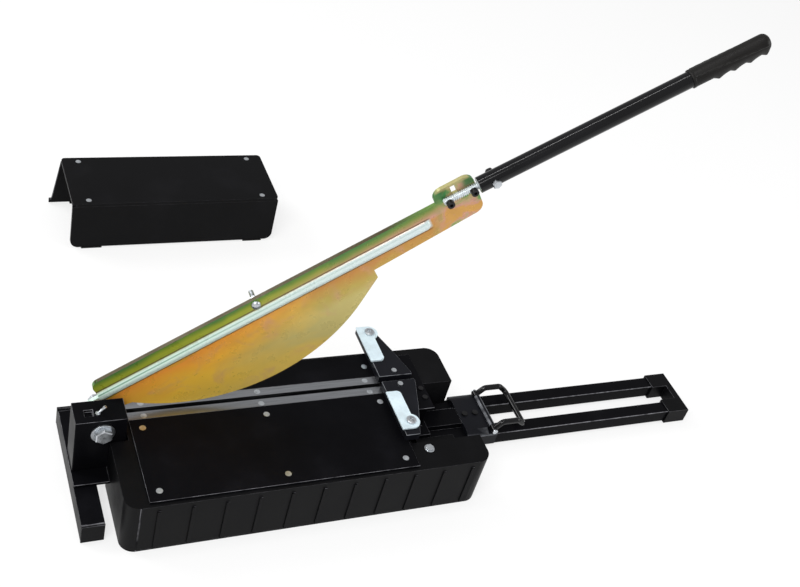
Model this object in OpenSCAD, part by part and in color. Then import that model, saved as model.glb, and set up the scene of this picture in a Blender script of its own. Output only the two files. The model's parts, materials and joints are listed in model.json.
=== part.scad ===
// Laminate cutter: a curved guillotine blade on a long lever, pivoted on a post
// beside a moulded base, with a sliding fence, two pull-out rails and a loose stand.
// Origin: centre of the base on the floor. +X runs along the cut towards the handle,
// +Y runs to the rear, +Z is up. Millimetres.

/* [Base] */
// Length of the moulded base along the cut
base_len = 466; // [440:1:500]
// Depth of the moulded base, front to rear
base_depth = 208; // [204:1:240]
// Height of the table that the work lies on
table_h = 82; // [80:1:100]
// Wall thickness of the moulded base
shell_wall = 4; // [3:0.5:5]
// Radius of the base's upright corners
base_corner_r = 18; // [8:1:24]
// Thickness of the moulded deck
deck_t = 5; // [4:0.5:8]
// Thickness of the two bed plates on the deck
bed_t = 3; // [2.5:0.5:5]
// Thickness of the steel plate that closes the base below
bottom_t = 2; // [1.5:0.5:3]
// Number of upright ribs on the front wall
rib_count = 11; // [5:1:14]
// Width of one rib
rib_w = 4; // [2:0.5:8]
// How far a rib stands proud of the front wall
rib_proud = 1.6; // [0.8:0.1:3]

/* [Cut] */
// Longest cut that the cutter takes
capacity = 330; // [300:1:332]
// Distance from the pivot to the start of the cut
cut_from_pivot = 37; // [34:0.5:45]
// Distance of the cutting plane behind the middle of the base
cut_y = 41.5; // [40:0.5:44]
// Shear gap between the blade and the front anvil
shear_gap = 0.4; // [0.3:0.05:0.8]
// Gap between the blade and the rear anvil
rear_gap = 0.9; // [0.4:0.1:2]
// Width of each anvil bar
anvil_w = 12; // [10:0.5:16]
// Height of each anvil bar
anvil_h = 8; // [6:0.5:9]

/* [Post] */
// Width of the pivot post along the cut
post_w = 60; // [54:1:64]
// Thickness of the pivot post, front to rear
post_t = 34; // [30:1:36]
// Height of the top of the post above the floor
post_top = 115; // [112:1:130]
// Height of the pivot above the table
pivot_over_table = 13.6; // [12:0.1:16]
// Diameter of the pivot bolt's plain shank
pivot_d = 12; // [10:0.5:13]
// Running clearance round a turning pin, on the radius
run_clear = 0.06; // [0.02:0.01:0.1]
// Outside diameter of the bronze bush in the blade
bush_d = 17; // [15:0.5:19]
// Side of the square skid bar on the floor
skid_w = 28; // [24:1:32]
// Wall thickness of the skid bar
skid_wall = 2.5; // [1.5:0.5:4]
// Length of the skid bar
skid_len = 184; // [160:1:210]

/* [Lever] */
// Angle of the lever above level, as shown
lever_angle = 33.5; // [25:0.1:60]
// Thickness of the blade plate
blade_t = 5; // [4:0.5:6]
// Height of the blade's top edge above the pivot, across the lever
strip_top_v = 38.5; // [34:0.5:42]
// Height of the stiffening bead's middle line above the pivot
bead_v = 15.5; // [14:0.5:18]
// Radius of the stiffening bead's round back
bead_r = 9; // [8.5:0.1:9.5]
// Radius of the blade's tail round the pivot
tail_r = 14; // [12:0.5:15]
// Far end of the stiffening bead from the pivot
bead_end = 451; // [430:1:455]
// Radius of the cutting edge
edge_r = 215; // [205:1:225]
// Distance from the pivot to the lowest point of the cutting edge
edge_low_u = 201; // [196:1:206]
// Depth of the lowest point of the cutting edge below the pivot
edge_low_v = 95.9; // [93:0.1:97]
// Slope where the arc of the edge runs out into a straight
edge_slope = 38; // [34:1:42]
// Distance from the pivot to the heel of the cutting edge
heel_u = 366; // [364:0.5:372]
// Far end of the handle ear from the pivot
ear_end = 516.5; // [510:0.5:526]
// Length of the handle ear along the lever
ear_len = 52; // [48:1:60]
// Height of the handle's axis above the pivot, across the lever, at the ear
handle_v = 39.8; // [38:0.1:41]
// Angle by which the handle drops away from the lever's line
handle_tilt = 1.5; // [0:0.1:2]
// Outside diameter of the handle tube
handle_d = 20; // [18:0.5:24]
// Wall thickness of the handle tube
handle_wall = 2; // [1.5:0.5:3]
// Length of the handle tube
handle_len = 368; // [340:1:400]
// Diameter of the steel stud that joins tube and ear
stud_d = 9; // [8:0.5:10]
// Length of the rubber grip
grip_len = 103; // [95:1:125]
// Thickness of the rubber over the tube
grip_wall = 1.1; // [1:0.1:3]
// Number of finger bumps under the grip
bump_count = 4; // [3:1:5]

/* [Fence] */
// Width of the gap between the brackets that the blade drops into
fence_gap = 8.6; // [8:0.1:11]
// Length of one fence bracket, away from the gap
bracket_len = 95; // [92:1:104]
// Width of a bracket at the gap
bracket_w = 47; // [44:1:50]
// Thickness of a bracket
bracket_t = 10.6; // [9:0.2:14]
// Thickness of the hold-down plates
plate_t = 3; // [2:0.5:5]
// Length of a hold-down plate
plate_len = 65; // [58:1:70]
// Width of a hold-down plate's straight part
plate_w = 20; // [17:0.5:22]
// Inner end of the rear hold-down plate, from the cutting plane
plate_rear_from = 31.5; // [28:0.5:34]
// Inner end of the front hold-down plate, from the cutting plane
plate_front_from = 25.5; // [24:0.5:34]
// Width of the flat tongue between the rails
tongue_w = 29; // [22:0.5:29.5]
// Height of the tongue
tongue_h = 12; // [8:0.5:14]
// Length of the cross plate along the rails
cross_len = 45; // [36:1:60]
// Diameter of the round bail
bail_d = 8; // [5:0.5:9]
// Reach of the bail from its pin
bail_reach = 47; // [40:1:52]

/* [Rails] */
// Side of the square rails
rail_w = 20; // [18:0.5:21]
// Wall thickness of the rails
rail_wall = 1.8; // [1.2:0.2:3]
// Clear gap between the two rails
rail_gap = 31; // [30.5:0.5:33]
// Length of the rails
rail_len = 441; // [420:1:560]
// Length of the end cap
cap_len = 44; // [34:1:60]

/* [Support stand] */
// Width of the stand's top
stand_w = 310; // [160:1:330]
// Depth of the stand, front leg to rear leg
stand_depth = 114; // [90:1:180]
// Distance of the stand's front leg behind the middle of the base
stand_y = 446; // [420:1:520]
// Thickness of the stand's pieces
stand_t = 5; // [4:0.5:8]
// How far the rear leg splays out at each side
stand_splay = 15; // [4:1:30]

/* [Hidden] */
$fn = 96;

// Small steps that keep cuts clean and flat faces apart
eps = 0.5;
clear = 0.3;
seat_clear = 0.15;

// Base
base_x0 = -base_len / 2;
base_x1 = base_len / 2;
base_y0 = -base_depth / 2;
base_y1 = base_depth / 2;
deck_z = table_h - bed_t;
deck_under = deck_z - deck_t;
shell_z = bottom_t;

// Pivot, cut and cutting plane
pivot_x = base_x0 - 9;
pivot_z = table_h + pivot_over_table;
cut_x0 = pivot_x + cut_from_pivot;
cut_x1 = cut_x0 + capacity;
blade_y0 = cut_y - blade_t / 2;
blade_y1 = cut_y + blade_t / 2;
anvil_front_y1 = blade_y0 - shear_gap;
anvil_front_y0 = anvil_front_y1 - anvil_w;
anvil_rear_y0 = blade_y1 + rear_gap;
anvil_rear_y1 = anvil_rear_y0 + anvil_w;
anvil_z = table_h - anvil_h;
anvil_x0 = cut_x0 - 2;
anvil_x1 = cut_x1 + 4;
slot_side = 3;
ledge_t = 10;
ledge_w = 5;

// Fence block's place and the channel beside the table that it runs in
fence_x = cut_x1 + 0.5;
channel_x0 = cut_x1 + 9;
channel_y0 = -60;
channel_y1 = blade_y0 - 1;
bed_x0 = cut_x0 - 1;
bed_x1 = channel_x0 - 3;
bed_margin = 5;
screw_head_r = 4;
screw_shank_r = 2;
screw_grip = 8;
bed_sink = 1.6;
sink_clear = 0.1;

// Post, beside the base, in a pocket of its left wall
post_x1 = base_x0 + 19;
post_x0 = post_x1 - post_w;
post_y0 = 0;
post_y1 = post_y0 + post_t;
post_mid_y = (post_y0 + post_y1) / 2;
pocket_x = post_x1 + 3;
pocket_y0 = post_y0 - 2;
pocket_y1 = blade_y1 + 5;
bolt_head_t = 8;
bolt_head_r = 12.4;
washer_t = 2.5;
washer_r = 14;
nut_t = 8;
nut_r = 8.6;
nut_thread_r = 4.5;
skid_x0 = post_x0 - 1;
skid_x1 = skid_x0 + skid_w - 1;
skid_y1 = base_y1 + 2;
skid_y0 = skid_y1 - skid_len;
bridge_t = 4;
bridge_z = skid_w;
bridge_y0 = -22;
bridge_y1 = base_y1 - 6;
post_z = bridge_z + bridge_t;
post_screw_x = [post_x0 + 13, post_x1 - 22];
nipple_x = pivot_x - 5;
nipple_y = post_y0 + 12;
nipple_r = 2.4;

// Lever, in its own frame: u along the lever, v across it, pivot at zero
bush_r = bush_d / 2;
edge_centre_v = edge_r - edge_low_v;
run_out_u = edge_low_u + edge_r * sin(edge_slope);
run_out_v = edge_centre_v - edge_r * cos(edge_slope);
heel_edge_v = run_out_v + (heel_u - run_out_u) * tan(edge_slope);
toe_u = cut_from_pivot;
toe_v = edge_centre_v - sqrt(pow(edge_r, 2) - pow(edge_low_u - toe_u, 2));
arm_heel_v = -10.8;
arm_end_v = -4.5;
strip_start = 12;
strip_corner_r = 10;
bead_half = sqrt(pow(bead_r, 2) - pow(blade_t, 2));
groove_r = bead_r - blade_t;
ear_start = ear_end - ear_len;
ear_mid = ear_end - ear_len / 2;
ear_top_v = handle_v + 17.2;
ear_corner_r = 12;
stud_flat = 0.4;
stud_y = blade_y0 - stud_d / 2 + stud_flat;
stud_start = ear_start + 9;
tube_start = ear_end + 2;
tube_end = tube_start + handle_len;
stud_end = tube_start + 46;
grip_cap = 9;
grip_start = tube_end - grip_len + grip_cap;
grip_end = tube_end + grip_cap;
grip_r = handle_d / 2 + grip_wall;
handle_bolt_u = tube_start + 19;
handle_bolt_r = 3;
handle_hex_r = 5.8;
stud_seat_y = stud_y - stud_d / 2 + stud_flat;
stud_screw_u = [ear_start + 15.2, ear_end - 5.8];
stud_screw_r = 2.5;
stud_head_r = 4.6;
stud_head_t = 6.3;
web_bolt_u = 226;
web_bolt_r = 3;
web_nut_r = 5.8;
web_bolt_v = bead_v + bead_half + web_nut_r + 2;
bump_first = 33.2;
bump_half = 6.3;

// Rails and the sliding fence block
rail_z = bottom_t + clear;
rail_top = rail_z + rail_w;
rail_mid_y = 18.5;
rail_in = rail_gap / 2;
rail_out = rail_in + rail_w;
rail_x0 = channel_x0 + 31;
rail_x1 = rail_x0 + rail_len;
cap_x1 = rail_x1 + 24;
cap_x0 = cap_x1 - cap_len;
cap_side = 2.5;
cap_h = rail_top + 2;
slide_z = rail_top + clear;
guide_x0 = channel_x0 + 38;
guide_x1 = base_x1 - shell_wall - 1;
guide_lip = 4;
guide_w = 13;
tongue_z1 = slide_z + 5.7;
tongue_z0 = tongue_z1 - tongue_h;
cross_x0 = base_x1 + 17;
cross_x1 = cross_x0 + cross_len;
cross_h = 6.5;
cross_side = 3;
cross_bevel = 11;
tie_z = deck_z + 0.4;
tie_x0 = fence_x + 11;
tie_x1 = fence_x + bracket_w + 15;
tie_reach = fence_gap / 2 + bracket_len * 0.48;
bracket_z = tie_z + 3;
plate_z = bracket_z + bracket_t + 0.2;
plate_x = fence_x + 13;
plate_round_r = 12;
hold_r = 4;
riser_x0 = fence_x + 36;
riser_x1 = riser_x0 + 32;
riser_mid_x = tie_x1 - 7;
riser_reach = rail_out - guide_lip - 0.8;
riser_top = tongue_z1 + 5;
bail_x = cross_x1 - 5;
bail_z = slide_z + 7.4;
bail_rise = 12;
bail_step = 11;
bail_lift = 1.5;
bail_slope = 12;
bail_eye_r = bail_d / 2 + 0.8;
bail_half = rail_in + 17;
bail_knee = bail_d / 2 + 0.5;
barrel_half = bail_half - bail_knee - 0.4;
bail_pin_r = 2.5;

// Support stand
stand_x0 = cut_x0 - 1;
stand_x1 = stand_x0 + stand_w;
stand_y1 = stand_y + stand_depth;
pad_t = 2;
stand_under = table_h - stand_t;
leg_flange = 14;

// Places of the fasteners
bed_screw_x = [bed_x0 + 14, (bed_x0 + bed_x1) / 2, bed_x1 - 14];
bed_front_y = [base_y0 + 20, anvil_front_y0 - 14];
bed_rear_y = [anvil_rear_y1 + 20];
bed_screw_y = concat(bed_front_y, bed_rear_y);
anvil_screw_x = [anvil_x0 + 20, (anvil_x0 + anvil_x1) / 2, anvil_x1 - 20];
anvil_mid_front = (anvil_front_y0 + anvil_front_y1) / 2 - 1;
anvil_mid_rear = (anvil_rear_y0 + anvil_rear_y1) / 2 + 1;
boss_inset = 25;
boss_x = [base_x0 + boss_inset, base_x1 - boss_inset];
boss_y = [base_y0 + boss_inset, base_y1 - boss_inset];
boss_r = 5;
deck_screw_x = channel_x0 + 21;
deck_screw_y = channel_y0 - 12;
bridge_screw_y = [pocket_y1 + 14, bridge_y1 - 10];
bridge_screw_z = post_z + 12;
guide_screw_x = [guide_x0 + 10, guide_x1 - 10];
guide_screw_y = rail_out + guide_w / 2 + 0.5;
bracket_screw_x = fence_x + 23.5;
bracket_screw_u = fence_gap / 2 + 8;
riser_head_r = 3;
riser_half = 6;
riser_screw_x = [riser_x0 + 4, riser_mid_x + riser_half + clear + riser_head_r];
tie_screw_y = [rail_mid_y - 8, rail_mid_y + 8];
cross_screw_x = [cross_x0 + 9, cross_x0 + 25];
tie_bar_x = rail_x0 + 6;
cap_screw_x = cap_x0 + 10;
stand_screw_x = [stand_x0 + 24, stand_x1 - 24];
stand_screw_y = [stand_y + stand_t + 4.5, stand_y1 - stand_t - 4.5];

// Shapes that repeat

// Rectangle with round corners, flat
module rounded(x0, y0, x1, y1, r) {
    translate([x0 + r, y0]) square([x1 - x0 - 2 * r, y1 - y0]);
    translate([x0, y0 + r]) square([x1 - x0, y1 - y0 - 2 * r]);
    for (x = [x0 + r, x1 - r], y = [y0 + r, y1 - r]) translate([x, y]) circle(r);
}

// Flat rectangle between two corners
module flat(x0, y0, x1, y1) {
    translate([x0, y0]) square([x1 - x0, y1 - y0]);
}

// Box between two corners
module box(a, b) {
    translate(a) cube(b - a);
}

// Cylinder along Y from y0 to y1
module rod_y(x, z, r, y0, y1) {
    translate([x, y1, z]) rotate([90, 0, 0]) cylinder(r = r, h = y1 - y0);
}

// Hexagon prism along Y from y0 to y1
module hex_y(x, z, r, y0, y1) {
    translate([x, y1, z]) rotate([90, 0, 0]) cylinder(r = r, h = y1 - y0, $fn = 6);
}

// Upright cylinder from z0 to z1
module rod_z(x, y, r, z0, z1) {
    translate([x, y, z0]) cylinder(r = r, h = z1 - z0);
}

// Upright hexagon prism from z0 to z1
module hex_z(x, y, r, z0, z1) {
    translate([x, y, z0]) cylinder(r = r, h = z1 - z0, $fn = 6);
}

// Upright screw: a round head sitting on z, its shank below
module screw_z(x, y, z, head_r, head_t, shank_r, depth) {
    rod_z(x, y, head_r, z, z + head_t);
    rod_z(x, y, shank_r, z - depth, z + eps);
}

// Profile in X and Z, given thickness in Y
module plate_xz(y0, y1) {
    translate([0, y1, 0]) rotate([90, 0, 0]) linear_extrude(y1 - y0) children();
}

// Profile in Y and Z, given length in X
module bar_yz(x0, x1) {
    translate([x0, 0, 0]) rotate([90, 0, 90]) linear_extrude(x1 - x0) children();
}

// Carries the lever's own frame to its place on the pivot
module on_lever() {
    translate([pivot_x, 0, pivot_z]) rotate([0, -lever_angle, 0]) children();
}

// Base

module pocket_flat(grow) {
    flat(base_x0 - eps, pocket_y0 - grow, pocket_x + grow, pocket_y1 + grow);
}

module base_outline() {
    difference() {
        rounded(base_x0, base_y0, base_x1, base_y1, base_corner_r);
        pocket_flat(0);
        flat(channel_x0, channel_y0, base_x1 + eps, channel_y1);
    }
}

module base_cavity() {
    w = shell_wall;
    difference() {
        rounded(base_x0 + w, base_y0 + w, base_x1 - w, base_y1 - w, base_corner_r - w);
        pocket_flat(w);
        flat(channel_x0 - w, channel_y0 - w, base_x1, channel_y1 + w);
    }
}

module base_ribs() {
    rib_x0 = base_x0 + base_corner_r + 20;
    rib_step = (base_x1 - base_corner_r - 8 - rib_x0) / (rib_count - 1);
    for (i = [0:rib_count - 1])
        box([rib_x0 + i * rib_step - rib_w / 2, base_y0 - rib_proud, shell_z + 1],
            [rib_x0 + i * rib_step + rib_w / 2, base_y0 + 1, deck_under - 4]);
}

module screw_post(x, y) {
    rod_z(x, y, screw_shank_r + 3, deck_under - screw_grip, deck_under + eps);
}

module base_shell() {
    w = shell_wall;
    color("#17171a") difference() {
        union() {
            difference() {
                translate([0, 0, shell_z]) linear_extrude(deck_z - shell_z) base_outline();
                translate([0, 0, shell_z - eps])
                    linear_extrude(deck_under - shell_z + eps) base_cavity();
            }
            base_ribs();
            // Ledges that carry the anvils
            for (y = [anvil_front_y0 - ledge_w, blade_y1 + slot_side])
                box([anvil_x0 - 3, y, anvil_z - ledge_t],
                    [anvil_x1 + 2, y + anvil_w + ledge_w - slot_side + 1.5, deck_under + eps]);
            for (x = bed_screw_x, y = bed_screw_y) screw_post(x, y);
            screw_post(deck_screw_x, deck_screw_y);
            for (x = boss_x, y = boss_y) rod_z(x, y, boss_r, shell_z, deck_under + eps);
        }
        // Slot that the blade drops through, also through the pocket's wall
        box([pocket_x - eps, blade_y0 - slot_side, shell_z - eps],
            [channel_x0 - w - 1, blade_y1 + slot_side, table_h]);
        // Seat of the anvils
        box([anvil_x0 - seat_clear, anvil_front_y0 - seat_clear, anvil_z],
            [anvil_x1 + seat_clear, anvil_rear_y1 + seat_clear, table_h]);
        // Way for the rails and the fence's shoe, under the table and the rear lobe
        box([channel_x0 - w - eps, rail_mid_y - rail_out - 2, shell_z - eps],
            [channel_x0 + eps, rail_mid_y + rail_out + 2, rail_top + 2]);
        box([channel_x0 - eps, channel_y1 - eps, shell_z - eps],
            [base_x1 + eps, rail_mid_y + rail_out + 2, riser_top + 2]);
        for (x = bed_screw_x, y = bed_screw_y)
            rod_z(x, y, screw_shank_r, deck_under - screw_grip - eps, table_h);
        rod_z(deck_screw_x, deck_screw_y, screw_shank_r, deck_under - screw_grip - eps, table_h);
        for (x = anvil_screw_x, y = [anvil_mid_front, anvil_mid_rear])
            rod_z(x, y, screw_shank_r, anvil_z - ledge_t - eps, table_h);
        for (x = boss_x, y = boss_y) rod_z(x, y, screw_shank_r, shell_z - eps, shell_z + 14);
        for (y = bridge_screw_y)
            translate([base_x0 - eps, y, bridge_screw_z]) rotate([0, 90, 0])
                cylinder(r = screw_shank_r, h = w + 2 * eps);
    }
}

module base_bottom() {
    color("#26262a") difference() {
        linear_extrude(bottom_t) difference() {
            rounded(base_x0, base_y0, base_x1, base_y1, base_corner_r);
            pocket_flat(0);
        }
        for (x = boss_x, y = boss_y) {
            rod_z(x, y, screw_shank_r + 0.1, -eps, bottom_t + eps);
            rod_z(x, y, screw_head_r + sink_clear, -eps, bottom_t - 0.8);
        }
        for (x = guide_screw_x, side = [-1, 1]) {
            rod_z(x, rail_mid_y + side * guide_screw_y, screw_shank_r + 0.1, -eps, bottom_t + eps);
            rod_z(x, rail_mid_y + side * guide_screw_y, screw_head_r + sink_clear, -eps, bottom_t - 0.8);
        }
    }
}

// Screw driven up from below, its head sunk in the bottom plate
module screw_up(x, y, reach) {
    rod_z(x, y, screw_head_r, 0.2, bottom_t - 0.8);
    rod_z(x, y, screw_shank_r, bottom_t - 0.8 - eps / 2, bottom_t + reach);
}

module bottom_screws() {
    color("#c9ccd0") for (x = boss_x, y = boss_y) screw_up(x, y, 12);
}

module bed(y0, y1, screw_y) {
    difference() {
        box([bed_x0, y0, deck_z], [bed_x1, y1, table_h]);
        for (x = bed_screw_x, y = screw_y) {
            rod_z(x, y, screw_shank_r, deck_z - eps, table_h + eps);
            rod_z(x, y, screw_head_r + sink_clear, table_h - bed_sink, table_h + eps);
        }
    }
}

module bed_front() {
    color("#202024") bed(base_y0 + bed_margin, anvil_front_y0 - 0.2, bed_front_y);
}

module bed_rear() {
    color("#202024") bed(anvil_rear_y1 + 0.2, base_y1 - bed_margin, bed_rear_y);
}

module bed_screws() {
    color("#c9ccd0") for (x = bed_screw_x, y = bed_screw_y)
        screw_z(x, y, table_h - bed_sink, screw_head_r, bed_sink - 0.2, screw_shank_r,
            bed_t - bed_sink + deck_t + screw_grip - 1);
}

module anvil(y0, y1, screw_y) {
    difference() {
        box([anvil_x0, y0, anvil_z], [anvil_x1, y1, table_h]);
        for (x = anvil_screw_x) {
            rod_z(x, screw_y, screw_shank_r, anvil_z - eps, table_h + eps);
            rod_z(x, screw_y, screw_head_r + sink_clear, table_h - 3, table_h + eps);
        }
    }
}

module anvil_front() {
    color("#8d9196") anvil(anvil_front_y0, anvil_front_y1, anvil_mid_front);
}

module anvil_rear() {
    color("#8d9196") anvil(anvil_rear_y0, anvil_rear_y1, anvil_mid_rear);
}

module anvil_screws() {
    color("#c9ccd0") for (x = anvil_screw_x, y = [anvil_mid_front, anvil_mid_rear])
        screw_z(x, y, table_h - 3, screw_head_r, 2.6, screw_shank_r, anvil_h - 3 + ledge_t - 1);
}

module deck_screw() {
    color("#d5d8dc") {
        rod_z(deck_screw_x, deck_screw_y, 6.6, deck_z, deck_z + 0.8);
        hex_z(deck_screw_x, deck_screw_y, 5.6, deck_z + 0.8 - eps / 4, table_h);
        rod_z(deck_screw_x, deck_screw_y, screw_shank_r, deck_under - screw_grip + 1, deck_z + eps);
    }
}

// Post and pivot

module bridge_plate() {
    // Ties the skid bar and the post to the base, above the skid bar
    color("#141416") difference() {
        union() {
            box([skid_x0, post_y0, bridge_z], [pocket_x - 0.5, pocket_y1 - 0.5, post_z]);
            box([skid_x0, bridge_y0, bridge_z], [base_x0, bridge_y1, post_z]);
            // Upright lip along the base's left wall
            box([base_x0 - 4, pocket_y1 + 2, bridge_z], [base_x0, bridge_y1, post_z + 22]);
        }
        for (x = post_screw_x) rod_z(x, post_mid_y, 3.2, bridge_z - eps, post_z + eps);
        for (y = bridge_screw_y)
            translate([base_x0 - 5, y, bridge_screw_z]) rotate([0, 90, 0])
                cylinder(r = screw_shank_r + seat_clear, h = 6);
    }
}

module bridge_screws() {
    color("#c9ccd0") for (y = bridge_screw_y) {
        translate([base_x0 - 6.5, y, bridge_screw_z]) rotate([0, 90, 0])
            cylinder(r = screw_head_r, h = 2.5);
        translate([base_x0 - 4 - eps, y, bridge_screw_z]) rotate([0, 90, 0])
            cylinder(r = screw_shank_r, h = 4 + eps + shell_wall + 4);
    }
}

module skid_bar() {
    w = skid_wall;
    color("#141416") difference() {
        box([skid_x0, skid_y0, 0], [skid_x1, skid_y1, skid_w]);
        box([skid_x0 + w, skid_y0 - eps, w], [skid_x1 - w, skid_y1 + eps, skid_w - w]);
        rod_z(post_screw_x[0], post_mid_y, 3.2, skid_w - w - eps, skid_w + eps);
    }
}

module skid_plugs() {
    w = skid_wall + seat_clear;
    color("#0d0d0e") for (side = [-1, 1]) {
        y = side < 0 ? skid_y0 : skid_y1;
        box([skid_x0, min(y, y + 3 * side), 0], [skid_x1, max(y, y + 3 * side), skid_w]);
        box([skid_x0 + w, min(y + side, y - 12 * side), w],
            [skid_x1 - w, max(y + side, y - 12 * side), skid_w - w]);
    }
}

module pivot_post() {
    color("#161618") difference() {
        box([post_x0, post_y0, post_z], [post_x1, post_y1, post_top]);
        rod_y(pivot_x, pivot_z, pivot_d / 2 + run_clear, post_y0 - eps, post_y1 + eps);
        // Shallow recess in the top, and the hole that feeds grease to the bolt
        box([post_x0 + 12, post_mid_y - 7, post_top - 4], [post_x0 + 22, post_mid_y + 3, post_top + eps]);
        rod_z(nipple_x, nipple_y, 1.2, pivot_z, post_top + eps);
        rod_z(nipple_x, nipple_y, nipple_r, post_top - 7, post_top + eps);
        for (x = post_screw_x) rod_z(x, post_mid_y, 3, post_z - eps, post_z + 18);
    }
}

module post_screws() {
    color("#c9ccd0") for (i = [0, 1]) {
        under = i == 0 ? skid_w - skid_wall : bridge_z;
        rod_z(post_screw_x[i], post_mid_y, 5.5, under - 5, under);
        rod_z(post_screw_x[i], post_mid_y, 3, under - eps, post_z + 16);
    }
}

module pivot_bolt() {
    color("#cfd3d8") {
        hex_y(pivot_x, pivot_z, bolt_head_r, post_y0 - washer_t - bolt_head_t, post_y0 - washer_t);
        rod_y(pivot_x, pivot_z, pivot_d / 2, post_y0 - washer_t - eps, blade_y1 + clear);
        rod_y(pivot_x, pivot_z, nut_thread_r, blade_y1, blade_y1 + clear + washer_t + nut_t + 2);
    }
}

module ring_y(outer_r, inner_r, y0, y1) {
    difference() {
        rod_y(pivot_x, pivot_z, outer_r, y0, y1);
        rod_y(pivot_x, pivot_z, inner_r, y0 - eps, y1 + eps);
    }
}

module front_washer() {
    color("#d9dce0") ring_y(washer_r, pivot_d / 2 + seat_clear, post_y0 - washer_t, post_y0);
}

module thrust_washer() {
    color("#b08d57") ring_y(tail_r - 1, pivot_d / 2 + seat_clear, post_y1, blade_y0 - clear);
}

module rear_washer() {
    color("#d9dce0")
        ring_y(nut_r + 0.6, nut_thread_r + seat_clear, blade_y1 + clear, blade_y1 + clear + washer_t);
}

module pivot_nut() {
    y0 = blade_y1 + clear + washer_t;
    color("#cfd3d8") difference() {
        hex_y(pivot_x, pivot_z, nut_r, y0, y0 + nut_t);
        rod_y(pivot_x, pivot_z, nut_thread_r, y0 - eps, y0 + nut_t + eps);
    }
}

module grease_nipple() {
    // Angled kind: the slim barrel leans towards the base
    barrel = 12;
    color("#d9dce0") {
        rod_z(nipple_x, nipple_y, nipple_r, post_top - 7, post_top);
        hex_z(nipple_x, nipple_y, 3.4, post_top, post_top + 2);
        translate([nipple_x, nipple_y, post_top + 1]) rotate([0, 38, 0]) {
            cylinder(r = 1.5, h = barrel);
            translate([0, 0, barrel - 1]) cylinder(r = 1.9, h = 2.4);
        }
    }
}

// Guides that hold the pull-out rails down on the bottom plate

module rail_guide(side) {
    inner = rail_out - guide_lip;
    outer = rail_out + guide_w;
    translate([0, rail_mid_y, 0]) scale_side(side) difference() {
        box([guide_x0, inner, bottom_t], [guide_x1, outer, rail_top + 6]);
        box([guide_x0 - eps, inner - eps, bottom_t - eps],
            [guide_x1 + eps, rail_out + clear, rail_top + clear]);
        for (x = guide_screw_x) rod_z(x, guide_screw_y, screw_shank_r, bottom_t - eps, bottom_t + 14);
    }
}

module rail_guide_front() {
    color("#202024") rail_guide(-1);
}

module rail_guide_rear() {
    color("#202024") rail_guide(1);
}

module guide_screws() {
    color("#c9ccd0") for (x = guide_screw_x, side = [-1, 1])
        screw_up(x, rail_mid_y + side * guide_screw_y, 12);
}

// Lever

module web_outline() {
    // Tail round the pivot
    circle(tail_r);
    polygon([[-tail_r * 0.8, -tail_r * 0.6], [toe_u + 1, toe_v], [toe_u + 1, bead_v], [0, tail_r]]);
    // Cutting edge: an arc that runs out into a straight towards the heel
    intersection() {
        translate([edge_low_u, edge_centre_v]) circle(edge_r, $fn = 240);
        flat(toe_u, -edge_low_v - 1, run_out_u, bead_v);
    }
    polygon([[run_out_u - 1, run_out_v - tan(edge_slope)], [heel_u, heel_edge_v],
        [heel_u, arm_heel_v], [heel_u, bead_v], [run_out_u - 1, bead_v]]);
    // Arm that rises towards the ear, the ear, and the strip along the top
    polygon([[heel_u - 3, arm_heel_v], [heel_u, arm_heel_v], [ear_end - ear_corner_r, arm_end_v],
        [ear_end - ear_corner_r, bead_v], [heel_u - 3, bead_v]]);
    rounded(ear_start, arm_end_v, ear_end, ear_top_v, ear_corner_r);
    rounded(strip_start, bead_v - strip_corner_r, ear_mid, strip_top_v, strip_corner_r);
}

module bead() {
    // Pressed bead, half round towards the front, with a domed far end
    intersection() {
        bead_round(bead_r);
        box([strip_start, blade_y0 - bead_r, bead_v - 2 * bead_r],
            [bead_end + bead_r, blade_y1, bead_v + 2 * bead_r]);
    }
}

module bead_round(r) {
    translate([strip_start - 1, blade_y1, bead_v]) rotate([0, 90, 0])
        cylinder(r = r, h = bead_end - bead_half - strip_start + 1);
    translate([bead_end - bead_half, blade_y1, bead_v]) sphere(r = r);
}

module tilted() {
    // Handle's frame, dropped a little about the middle of the ear
    translate([ear_mid, 0, handle_v]) rotate([0, handle_tilt, 0]) translate([-ear_mid, 0, -handle_v])
        children();
}

module on_handle() {
    on_lever() tilted() children();
}

module stud_screw_places() {
    for (u = stud_screw_u) translate([u, 0, handle_v]) children();
}

module blade() {
    window_u = ear_start + 22.8;
    window_v = handle_v + 1.2;
    color("#b98a2e") on_lever() difference() {
        union() {
            plate_xz(blade_y0, blade_y1) web_outline();
            bead();
        }
        // Hollow of the bead, open to the rear
        bead_round(groove_r);
        rod_y(0, 0, bush_r, blade_y0 - eps, blade_y1 + eps);
        rod_y(web_bolt_u, web_bolt_v, web_bolt_r + seat_clear, blade_y0 - eps, blade_y1 + eps);
        // Window in the ear
        box([window_u, blade_y0 - eps, window_v], [window_u + 6, blade_y1 + eps, ear_top_v - 3]);
        tilted() stud_screw_places()
            rod_y(0, 0, stud_screw_r + seat_clear, blade_y0 - eps, blade_y1 + eps);
    }
}

module pivot_bush() {
    color("#b08d57") on_lever() difference() {
        rod_y(0, 0, bush_r, blade_y0, blade_y1);
        rod_y(0, 0, pivot_d / 2 + run_clear, blade_y0 - eps, blade_y1 + eps);
    }
}

module web_bolt() {
    // Domed head at the front, long thread out at the rear
    dome = 4.5;
    tail = 18;
    color("#cfd3d8") on_lever() {
        translate([web_bolt_u, blade_y0, web_bolt_v]) rotate([90, 0, 0]) rotate_extrude()
            polygon([[0, 0], [web_nut_r, 0], [web_nut_r, 1.5], [web_nut_r - 1.6, 3.7],
                [2, dome], [0, dome]]);
        rod_y(web_bolt_u, web_bolt_v, web_bolt_r, blade_y0 - eps, blade_y1 + tail);
    }
}

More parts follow.
